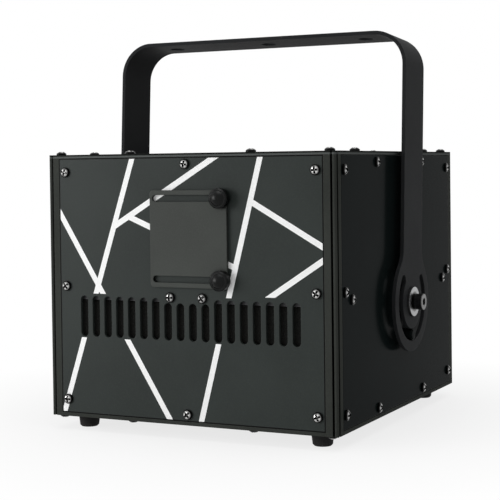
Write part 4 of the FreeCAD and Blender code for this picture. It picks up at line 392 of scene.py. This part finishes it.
# Rubber feet.
# Moulded black rubber cones with a barbed stem, pulled through holes in the base plate;
# the rubber is dull and greys with dust towards the ground.
rubber_black, rubber_dust = (0.009, 0.009, 0.009), (0.045, 0.043, 0.041)
dust_size, dust_height, rubber_grain_size = 0.004, 0.005, 0.0008
foot_finish, foot_shader, foot_place = begin_finish("foot_rubber")
foot_up = parts_of(foot_finish, foot_place)["Z"]
low_down = spread(foot_finish, foot_up, 0.0, dust_height, to_low=0.6, to_high=0.1)
dust_clouds = speckle(foot_finish, foot_place, dust_size, detail=5.0)
foot_dust = product(foot_finish, low_down, spread(foot_finish, dust_clouds, low=0.4, high=0.7))
foot_grain = speckle(foot_finish, foot_place, rubber_grain_size, detail=4.0)
feed(foot_finish, foot_shader, {
    "Base Color": blend_colours(foot_finish, foot_dust, rubber_black, rubber_dust),
    "Roughness": spread(foot_finish, foot_grain, low=0.3, high=0.7, to_low=0.72, to_high=0.9),
    "Specular IOR Level": 0.25,
})
raise_pattern(foot_finish, foot_shader, foot_grain, strength=0.35, depth=0.0002)
dress(foot_finish, "rubber_feet")


# Shutter plate and its knobs.
# A thin slotted aluminium plate, sprayed like the front panel, that slides over the beam window;
# two moulded knobs clamp it, each a black barrel with a rim and a domed cap.
shutter_colour, shutter_edge_wear_and_highlight = (0.046, 0.0505, 0.046), (0.055, 0.059, 0.055)
shutter_finish = sprayed_paint(
    "shutter_paint", shutter_colour, shutter_edge_wear_and_highlight, sheet_roughness, sheet_gloss
)[0]
dress(shutter_finish, "shutter_plate")
knob_black = (0.003, 0.0034, 0.0034)
knob_finish = moulded_plastic("knob_plastic", knob_black, roughness=0.28, gloss=0.13, grain_size=0.0009)
dress(knob_finish, "shutter_knob_upper", "shutter_knob_lower")


# Beam window.
# A pane of coated glass behind the front panel, closed by the shutter plate;
# it has a faint tint and a trace of dust.
glass_tint, tint_size, glass_dust_size = (0.86, 0.92, 0.91), 0.03, 0.006
glass_finish, glass_shader, glass_place = begin_finish("beam_window_glass")
glass_clouds = speckle(glass_finish, glass_place, tint_size)
glass_dust = speckle(glass_finish, glass_place, glass_dust_size, detail=6.0)
feed(glass_finish, glass_shader, {
    "Base Color": blend_colours(glass_finish, glass_clouds, *shades(glass_tint, change=0.03)),
    "Roughness": spread(glass_finish, glass_dust, low=0.45, high=0.8, to_low=0.02, to_high=0.14),
    "Transmission Weight": 1.0,
    "IOR": 1.5,
})
dress(glass_finish, "window_glass")


# Frame rails, scanner block and mirror mounts.
# Bare aluminium bar, sawn or milled and drilled, held by screws through the panels or from the plate below;
# the cutter leaves fine straight lines.
def bare_aluminium(name, colour, line_scale):
    """Bare machined aluminium, with cutter lines, dull patches and painted shade in its seams."""
    edge_radius, edge_strength, patch_size = 0.0004, 0.6, 0.02
    seam_reach, seam_shade, line_strength, line_depth = 0.004, (0.003, 0.003, 0.003), 0.15, 0.0001
    finish, shader, place = begin_finish(name)
    eased, edge = rounded_edges(finish, edge_radius)
    patches = speckle(finish, place, patch_size, detail=4.0)
    metal = blend_colours(finish, patches, *shades(colour, change=0.08))
    rubbed = product(finish, edge, edge_strength)
    metal = blend_colours(finish, rubbed, metal, shades(colour, change=0.25)[1])
    # painted shade: black in seams and under edges
    shaded = hollows(finish, seam_reach, in_the_open=0.6, deep_down=0.25)
    metal = blend_colours(finish, shaded, metal, seam_shade)
    lines = add_step(finish, "ShaderNodeMapping", {"Vector": place, "Scale": line_scale}).outputs["Vector"]
    cutter = speckle(finish, lines, grain_size=1.0, detail=3.0)
    dullness = spread(finish, cutter, low=0.3, high=0.7, to_low=0.28, to_high=0.46)
    feed(finish, shader, {"Base Color": metal, "Metallic": 1.0, "Roughness": dullness})
    raise_pattern(finish, shader, cutter, line_strength, line_depth, eased)
    return finish


milled_colour, milled_lines = (0.6, 0.61, 0.62), (60.0, 2400.0, 2400.0)
milled_finish = bare_aluminium("milled_aluminium", milled_colour, milled_lines)
dress(milled_finish, "scanner_block", "mirror_mounts")
sawn_colour, sawn_lines = (0.5, 0.51, 0.52), (900.0, 900.0, 900.0)
sawn_finish = bare_aluminium("sawn_aluminium", sawn_colour, sawn_lines)
dress(sawn_finish, "frame_rails")


# Optics plate, lasers and galvo motors.
# Machined aluminium, bead-blasted and black-anodised; the plate hangs on screws through the panels
# and carries the rest, and the anodising is dull, with bright metal at the edges.
def anodised_black(name, colour, edge_colour):
    """Dull black anodising over blasted aluminium, worn to metal along the edges."""
    edge_radius, wear_size, bloom_size = 0.0004, 0.003, 0.015
    blast_size, blast_strength, blast_depth = 0.0004, 0.25, 0.0001
    finish, shader, place = begin_finish(name)
    eased, edge = rounded_edges(finish, edge_radius)
    bloom = speckle(finish, place, bloom_size, detail=4.0)
    skin = blend_colours(finish, bloom, *shades(colour, change=0.2))
    wear = spread(finish, speckle(finish, place, wear_size, detail=4.0), low=0.4, high=0.6, to_high=0.8)
    worn = product(finish, edge, wear)
    blasted = speckle(finish, place, blast_size)
    feed(finish, shader, {
        "Base Color": blend_colours(finish, worn, skin, edge_colour),
        "Metallic": spread(finish, worn, low=0.0, high=1.0, to_low=0.3),
        "Roughness": spread(finish, blasted, low=0.3, high=0.7, to_low=0.42, to_high=0.58),
    })
    raise_pattern(finish, shader, blasted, blast_strength, blast_depth, eased)
    return finish


anodising_black, anodising_edge = (0.012, 0.012, 0.0135), (0.3, 0.3, 0.31)
anodised_finish = anodised_black("black_anodising", anodising_black, anodising_edge)
dress(anodised_finish, "optics_plate", "laser_red", "laser_green", "laser_blue")
dress(anodised_finish, "galvo_x_motor", "galvo_y_motor")


# Combining mirrors and galvo mirrors.
# Front-silvered glass plates glued to their mounts and shafts;
# the coating is bright, with a few specks of dust.
silver_colour, speck_colour, speck_size = (0.86, 0.87, 0.88), (0.6, 0.61, 0.62), 0.0015
mirror_finish, mirror_shader, mirror_place = begin_finish("mirror_coating")
mirror_dust = speckle(mirror_finish, mirror_place, speck_size, detail=5.0)
specks = spread(mirror_finish, mirror_dust, low=0.55, high=0.75)
feed(mirror_finish, mirror_shader, {
    "Base Color": blend_colours(mirror_finish, specks, silver_colour, speck_colour),
    "Roughness": spread(mirror_finish, specks, low=0.0, high=1.0, to_low=0.03, to_high=0.3),
    "Metallic": 1.0,
})
dress(mirror_finish, "combining_mirrors", "galvo_x_mirror", "galvo_y_mirror")


# Circuit boards and their standoffs.
# Green lacquered glass-fibre boards with copper tracks under the lacquer, on turned brass standoffs;
# the tracks show as paler lines, and solder joints as small bright spots.
def cells(finish, place, scale, **settings):
    """A pattern of cells, each with its middle and its own colour."""
    return add_step(finish, "ShaderNodeTexVoronoi", {"Vector": place, "Scale": scale, **settings}).outputs


lacquer_green, track_green, solder = (0.02, 0.11, 0.045), (0.035, 0.2, 0.075), (0.62, 0.62, 0.6)
solder_scale, solder_radius, solder_rim = 280.0, 0.16, 0.2
board_finish, board_shader, board_place = begin_finish("board_lacquer")
track_layout = {"Scale": 130.0, "Mortar Size": 0.035, "Brick Width": 1.4, "Row Height": 0.35}
track_grid = add_step(board_finish, "ShaderNodeTexBrick", {"Vector": board_place, **track_layout})
tracks = reckon(board_finish, "SUBTRACT", 1.0, track_grid.outputs["Fac"])
joint_cells = cells(board_finish, board_place, solder_scale)["Distance"]
joints = spread(board_finish, joint_cells, solder_radius, solder_rim, to_low=1.0, to_high=0.0)
lacquer = blend_colours(board_finish, tracks, lacquer_green, track_green)
feed(board_finish, board_shader, {
    "Base Color": blend_colours(board_finish, joints, lacquer, solder),
    "Metallic": joints,
    "Roughness": spread(board_finish, joints, low=0.0, high=1.0, to_low=0.3, to_high=0.22),
})
raise_pattern(board_finish, board_shader, tracks, strength=0.2, depth=0.0001)
dress(board_finish, "galvo_driver_board", "control_board")
brass_colour, brass_painted_shade = (0.72, 0.53, 0.22), (0.08, 0.05, 0.02)
brass_finish = plated_metal("turned_brass", brass_colour, roughness=0.26, painted_shade=brass_painted_shade)[0]
dress(brass_finish, "board_standoffs")


# Power supply.
# A folded case of galvanised sheet with punched air holes, screwed to the base plate;
# the zinc has its broad frosty spangle.
spangle_scale, spangle_colour = 120.0, (0.52, 0.54, 0.55)
hole_scale, hole_radius, hole_rim, hole_shade = 160.0, 0.26, 0.3, (0.02, 0.02, 0.02)
supply_finish, supply_shader, supply_place = begin_finish("galvanised_sheet")
spangle = cells(supply_finish, supply_place, spangle_scale)["Color"]
spangle_tone = add_step(supply_finish, "ShaderNodeRGBToBW", {"Color": spangle}).outputs["Val"]
zinc = blend_colours(supply_finish, spangle_tone, *shades(spangle_colour, change=0.12))
hole_cells = cells(supply_finish, supply_place, hole_scale, Randomness=0.0)["Distance"]
# the air holes are black dots in the colour: painted shade for the holes' depth
holes = spread(supply_finish, hole_cells, hole_radius, hole_rim, to_low=1.0, to_high=0.0)
feed(supply_finish, supply_shader, {
    "Base Color": blend_colours(supply_finish, holes, zinc, hole_shade),
    "Roughness": spread(supply_finish, spangle_tone, low=0.0, high=1.0, to_low=0.3, to_high=0.5),
    "Metallic": 0.85,
})
dress(supply_finish, "power_supply")


# Fan.
# A square moulded frame with a seven-bladed rotor, behind a wire guard of welded steel rings;
# frame and rotor are the same black glass-filled plastic, and the guard is zinc-plated like the washers.
dress(plastic_finish, "fan_frame", "fan_rotor")
dress(zinc_finish, "fan_guard")


# Mains inlet and its rocker.
# A moulded flanged body, screwed on from outside, with three nickel-plated brass blades in its floor;
# the rocker is a glossier moulding that snaps into the flange.
def deselect_all():
    """Leaves edit mode and selects nothing."""
    if bpy.context.mode != "OBJECT":
        bpy.ops.object.mode_set(mode="OBJECT")
    bpy.ops.object.select_all(action="DESELECT")


def start_block(name, size, middle):
    """A block to be shaped, at its size and place."""
    deselect_all()
    bpy.ops.mesh.primitive_cube_add(size=1, location=middle)
    block = bpy.context.object
    block.name = name
    block.scale = size
    bpy.ops.object.transform_apply(location=True, rotation=True, scale=True)
    return block


def pick_faces(piece, direction):
    """Goes into edit mode with just the faces selected that look in a direction."""
    squarely = 0.9
    bpy.ops.object.mode_set(mode="EDIT")
    bpy.ops.mesh.select_mode(type="FACE")
    bpy.ops.mesh.select_all(action="DESELECT")
    bpy.ops.object.mode_set(mode="OBJECT")
    for face in piece.data.polygons:
        face.select = face.normal.dot(direction) > squarely
    bpy.ops.object.mode_set(mode="EDIT")


def round_all_edges(width, segments):
    """Rounds every edge of the piece in edit mode."""
    bpy.ops.mesh.select_all(action="SELECT")
    bpy.ops.mesh.bevel(offset=width, segments=segments, affect="EDGES")


def settle(piece, finish):
    """Puts a shaped piece's place into its mesh, smooths its rounded faces and gives it its finish."""
    deselect_all()
    piece.select_set(True)
    bpy.context.view_layer.objects.active = piece
    bpy.ops.object.transform_apply(location=True, rotation=True, scale=True)
    bpy.ops.object.shade_smooth_by_angle(angle=math.radians(35))
    piece.data.materials.append(finish)


def copy_along(piece, name, step):
    """A copy of a settled piece, with its own mesh, moved by a step."""
    twin = piece.copy()
    twin.name = name
    twin.data = piece.data.copy()
    twin.data.transform(Matrix.Translation(step))
    bpy.context.scene.collection.objects.link(twin)
    return twin


dress(plastic_finish, "power_inlet")
rocker_black = (0.011, 0.011, 0.012)
rocker_finish = moulded_plastic("rocker_gloss", rocker_black, roughness=0.18, gloss=0.5, grain_size=0.002)
dress(rocker_finish, "power_rocker")
blade_nickel, blade_painted_shade = (0.74, 0.72, 0.66), (0.1, 0.09, 0.07)
blade_finish = plated_metal("contact_nickel", blade_nickel, roughness=0.22, painted_shade=blade_painted_shade)[0]
mouth_drop, mouth_depth = 0.0115, 0.017
blade_width, blade_reach, blade_height, blade_pitch = 0.002, 0.013, 0.004, 0.007
blade_tip, blade_tip_taper, blade_edge = 0.0008, (0.55, 1, 0.75), 0.00022
cover_gap = 0.00006
rearwards = Vector((0, 1, 0))
inlet_low, inlet_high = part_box("power_inlet")
inlet_middle = (inlet_low + inlet_high) / 2
blade_middle = (
    inlet_middle.x,
    inlet_high.y - mouth_depth + (blade_reach + cover_gap) / 2,
    inlet_middle.z - mouth_drop + blade_height / 2,
)
blade_size = (blade_width + 2 * cover_gap, blade_reach + cover_gap, blade_height + 2 * cover_gap)
earth_blade = start_block("inlet_blade_earth", blade_size, blade_middle)
pick_faces(earth_blade, rearwards)
bpy.ops.mesh.extrude_region_move(TRANSFORM_OT_translate={"value": (0, cover_gap + blade_tip, 0)})
bpy.ops.transform.resize(value=blade_tip_taper)
round_all_edges(blade_edge, segments=3)
settle(earth_blade, blade_finish)
blades = [earth_blade]
for name, column in (("inlet_blade_line", -1), ("inlet_blade_neutral", 1)):
    blades.append(copy_along(earth_blade, name, (column * blade_pitch, 0, -blade_height)))
for blade in blades:
    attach(blade, "housing")


# Key switch and key.
# A nickel-plated brass barrel with a nut behind the panel, and a stamped steel key plated alike;
# the plating shows rubbed marks and fingerprints.
key_nickel, key_painted_shade = (0.7, 0.7, 0.69), (0.05, 0.05, 0.05)
key_finish = plated_metal("key_nickel", key_nickel, roughness=0.2, painted_shade=key_painted_shade)[0]
dress(key_finish, "key_switch", "key")


# Signal sockets.
# Die-cast flanged shells, blackened, with three gold-plated pins in the input and a sprung latch
# on the output; the pins stand in a moulded floor deep in the shell.
socket_black, socket_edge = (0.055, 0.055, 0.058), (0.35, 0.35, 0.36)
socket_finish = anodised_black("blackened_die_cast", socket_black, socket_edge)
dress(socket_finish, "signal_in_socket", "signal_out_socket")
pin_gold, pin_painted_shade = (0.83, 0.6, 0.24), (0.12, 0.07, 0.02)
pin_finish = plated_metal("contact_gold", pin_gold, roughness=0.18, painted_shade=pin_painted_shade)[0]
cup_depth, pin_circle, pin_angles = 0.02, 0.005, (30, 150, 270)
pin_radius, pin_reach = 0.0012 + cover_gap, 0.014 + cover_gap
pin_tip, pin_tip_taper, pin_edge = 0.0007, (0.55, 1, 0.55), 0.0005
socket_low, socket_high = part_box("signal_in_socket")
socket_middle = (socket_low + socket_high) / 2
pin_middles = [
    Vector((
        socket_middle.x + pin_circle * math.cos(math.radians(angle)),
        socket_high.y - cup_depth + pin_reach / 2,
        socket_middle.z + pin_circle * math.sin(math.radians(angle)),
    ))
    for angle in pin_angles
]
deselect_all()
bpy.ops.mesh.primitive_cylinder_add(
    vertices=32, radius=pin_radius, depth=pin_reach, location=pin_middles[0], rotation=(math.pi / 2, 0, 0)
)
first_pin = bpy.context.object
first_pin.name = "signal_pin_1"
bpy.ops.object.transform_apply(location=True, rotation=True, scale=True)
pick_faces(first_pin, rearwards)
bpy.ops.mesh.extrude_region_move(TRANSFORM_OT_translate={"value": (0, pin_tip, 0)})
bpy.ops.transform.resize(value=pin_tip_taper)
bpy.ops.mesh.bevel(offset=pin_edge, segments=4, affect="EDGES")
settle(first_pin, pin_finish)
pins = [first_pin]
for number, middle in enumerate(pin_middles[1:], 2):
    pins.append(copy_along(first_pin, f"signal_pin_{number}", middle - pin_middles[0]))
for pin in pins:
    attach(pin, "housing")


# Show-data socket.
# A flanged shell pressed from tinned steel, with two screw posts;
# the tin is soft and a little cloudy.
tin_colour, tin_painted_shade = (0.58, 0.58, 0.56), (0.06, 0.06, 0.06)
tin_finish = plated_metal("tinned_steel", tin_colour, roughness=0.3, painted_shade=tin_painted_shade)[0]
dress(tin_finish, "show_data_socket")


# Menu unit.
# A moulded bezel with a smoked display window and four round push buttons, screwed on from outside;
# the window is a thin acrylic pane set in a shallow recess.
dress(plastic_finish, "menu_unit")
button_grey = (0.035, 0.036, 0.038)
button_finish = moulded_plastic("button_plastic", button_grey, roughness=0.4, gloss=0.4, grain_size=0.0008)
dress(button_finish, *(f"menu_button_{number}" for number in range(1, 5)))
smoke_dark, smoke_pale, smear_size = (0.008, 0.01, 0.014), (0.014, 0.017, 0.022), 0.008
display_finish, display_shader, display_place = begin_finish("smoked_acrylic")
smears = speckle(display_finish, display_place, smear_size, detail=5.0)
feed(display_finish, display_shader, {
    "Base Color": blend_colours(display_finish, smears, smoke_dark, smoke_pale),
    "Roughness": spread(display_finish, smears, low=0.4, high=0.7, to_low=0.05, to_high=0.2),
    "Coat Weight": 0.3,
})
display_offset, display_width, display_height, display_recess = 0.016, 0.0456, 0.0176, 0.0008
display_rim, display_rise, display_edge = 0.0012, 0.00035, 0.00018
menu_low, menu_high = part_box("menu_unit")
menu_middle = (menu_low + menu_high) / 2
display = start_block(
    "display_window",
    (display_width, display_recess, display_height),
    (menu_middle.x + display_offset, menu_high.y - display_recess / 2, menu_middle.z),
)
pick_faces(display, rearwards)
bpy.ops.mesh.inset(thickness=display_rim)
bpy.ops.transform.translate(value=(0, display_rise, 0))
round_all_edges(display_edge, segments=2)
settle(display, display_finish)
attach(display, "housing")


# Dust filter.
# A sheet of black open-cell foam, cut with a knife and glued by its edges behind the air slots;
# its face swells a little and is full of small cells, and its black also stands in for the shade seen
# through the slots.
foam_black, foam_grey, foam_cell_scale = (0.003, 0.003, 0.003), (0.014, 0.0145, 0.013), 900.0
foam_finish, foam_shader, foam_place = begin_finish("filter_foam")
foam_cells = cells(foam_finish, foam_place, foam_cell_scale)["Distance"]
feed(foam_finish, foam_shader, {
    "Base Color": blend_colours(foam_finish, foam_cells, foam_black, foam_grey),
    "Roughness": spread(foam_finish, foam_cells, low=0.0, high=0.8, to_low=0.85),
    "Specular IOR Level": 0.1,
})
raise_pattern(foam_finish, foam_shader, foam_cells, strength=0.8, depth=0.0006)
filter_width, filter_thickness, filter_height = 0.2, 0.0035, 0.036
filter_rim, filter_swell, filter_edge = 0.004, 0.0004, 0.0006
panel_gap, plate_gap = 0.0006, 0.0003
panel_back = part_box("front_panel")[1].y
filter_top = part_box("optics_plate")[0].z - plate_gap
foam = start_block(
    "dust_filter",
    (filter_width, filter_thickness, filter_height),
    (0, panel_back + panel_gap + filter_thickness / 2, filter_top - filter_height / 2),
)
pick_faces(foam, -rearwards)
bpy.ops.mesh.inset(thickness=filter_rim)
bpy.ops.transform.translate(value=(0, -filter_swell, 0))
round_all_edges(filter_edge, segments=3)
settle(foam, foam_finish)
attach(foam, "housing")


# Floor.
# A broad sheet of matt white paper, which runs out to plain white away from the part
# and keeps the part's soft shadow.
def seen_directly(finish):
    """One for what the camera sees, in metal and through glass too, and nothing for other light."""
    ray = add_step(finish, "ShaderNodeLightPath").outputs
    seen = ray["Is Camera Ray"]
    for kind in ("Is Glossy Ray", "Is Transmission Ray"):
        seen = reckon(finish, "MAXIMUM", seen, ray[kind])
    return seen


white, paper_white, fibre_size = (1.0, 1.0, 1.0), (0.86, 0.86, 0.86), 0.004
floor_size, shadow_reach, white_reach, least_white = 24, 0.15, 0.36, 0.78
paper, paper_shader, paper_place = begin_finish("floor_paper")
fibres = speckle(paper, paper_place, fibre_size, detail=4.0)
feed(paper, paper_shader, {
    "Base Color": blend_colours(paper, fibres, *shades(paper_white, change=0.015)),
    "Roughness": 0.9,
    "Specular IOR Level": 0.1,
})
from_middle = add_step(paper, "ShaderNodeVectorMath", {0: paper_place}, operation="LENGTH").outputs["Value"]
far_off = spread(paper, from_middle, shadow_reach, white_reach, to_low=least_white)
whiteness = product(paper, far_off, seen_directly(paper))
plain_white = add_step(paper, "ShaderNodeEmission", {"Color": opaque(white), "Strength": 1.0})
paper_mix = {0: whiteness, 1: paper_shader.outputs["BSDF"], 2: plain_white.outputs["Emission"]}
paper_look = add_step(paper, "ShaderNodeMixShader", paper_mix).outputs["Shader"]
feed(paper, paper.node_tree.nodes["Material Output"], {"Surface": paper_look})
deselect_all()
bpy.ops.mesh.primitive_plane_add(size=floor_size, location=(0, 0, 0))
floor = bpy.context.object
floor.name = "floor"
floor.data.materials.append(paper)


# Light.
# Even white light from all round, with one large soft lamp at the front and left and a weaker one above;
# the picture's ground is plain white.
def white_surround(world, strength):
    """White light of one strength from all round."""
    glow = {"Color": opaque(white), "Strength": strength}
    return add_step(world, "ShaderNodeBackground", glow).outputs["Background"]


def soft_lamp(name, place, aim, size, power):
    """A large square soft lamp at a place, turned to its aim."""
    lamp = bpy.data.lights.new(name, "AREA")
    lamp.size = size
    lamp.energy = power
    holder = bpy.data.objects.new(name, lamp)
    holder.location = place
    holder.rotation_euler = (Vector(aim) - Vector(place)).to_track_quat("-Z", "Y").to_euler()
    bpy.context.scene.collection.objects.link(holder)


world = bpy.data.worlds.new("studio")
bpy.context.scene.world = world
world.use_nodes = True
world.node_tree.nodes.clear()
ambient = white_surround(world, strength=0.36)
ground = white_surround(world, strength=1.0)
surround = add_step(world, "ShaderNodeMixShader", {0: seen_directly(world), 1: ambient, 2: ground})
add_step(world, "ShaderNodeOutputWorld", {"Surface": surround.outputs["Shader"]})
lamp_aim = (0, 0, 0.1)
soft_lamp("front_lamp", (-1.3, -1.2, 0.35), lamp_aim, size=1.0, power=20.5)
soft_lamp("top_lamp", (0.1, -0.2, 2.0), lamp_aim, size=1.4, power=15)


# Camera.
# A long lens at the height of the box's top and to its right, nearly level and upright;
# it is shifted down a little, so that the uprights stay nearly parallel.
camera_turn, camera_rise, camera_roll = math.radians(26.012), math.radians(1.403), math.radians(-0.697)
camera_distance, camera_right, camera_up = 1.1719, -0.01232, 0.17012
lens = bpy.data.cameras.new("camera")
lens.lens = 98.0
lens.sensor_width = 36
lens.shift_y = -0.1
level_right = Vector((math.cos(camera_turn), math.sin(camera_turn), 0))
backward = Vector((
    math.sin(camera_turn) * math.cos(camera_rise),
    -math.cos(camera_turn) * math.cos(camera_rise),
    math.sin(camera_rise),
))
level_up = backward.cross(level_right)
right = math.cos(camera_roll) * level_right + math.sin(camera_roll) * level_up
up = math.cos(camera_roll) * level_up - math.sin(camera_roll) * level_right
floor_middle = Vector((0, 0, box_floor))
camera = bpy.data.objects.new("camera", lens)
camera.matrix_world = Matrix((right, up, backward)).transposed().to_4x4()
camera.location = floor_middle + camera_distance * backward + camera_right * right + camera_up * up
bpy.context.scene.collection.objects.link(camera)
bpy.context.scene.camera = camera
bpy.context.scene.view_settings.view_transform = "Standard"
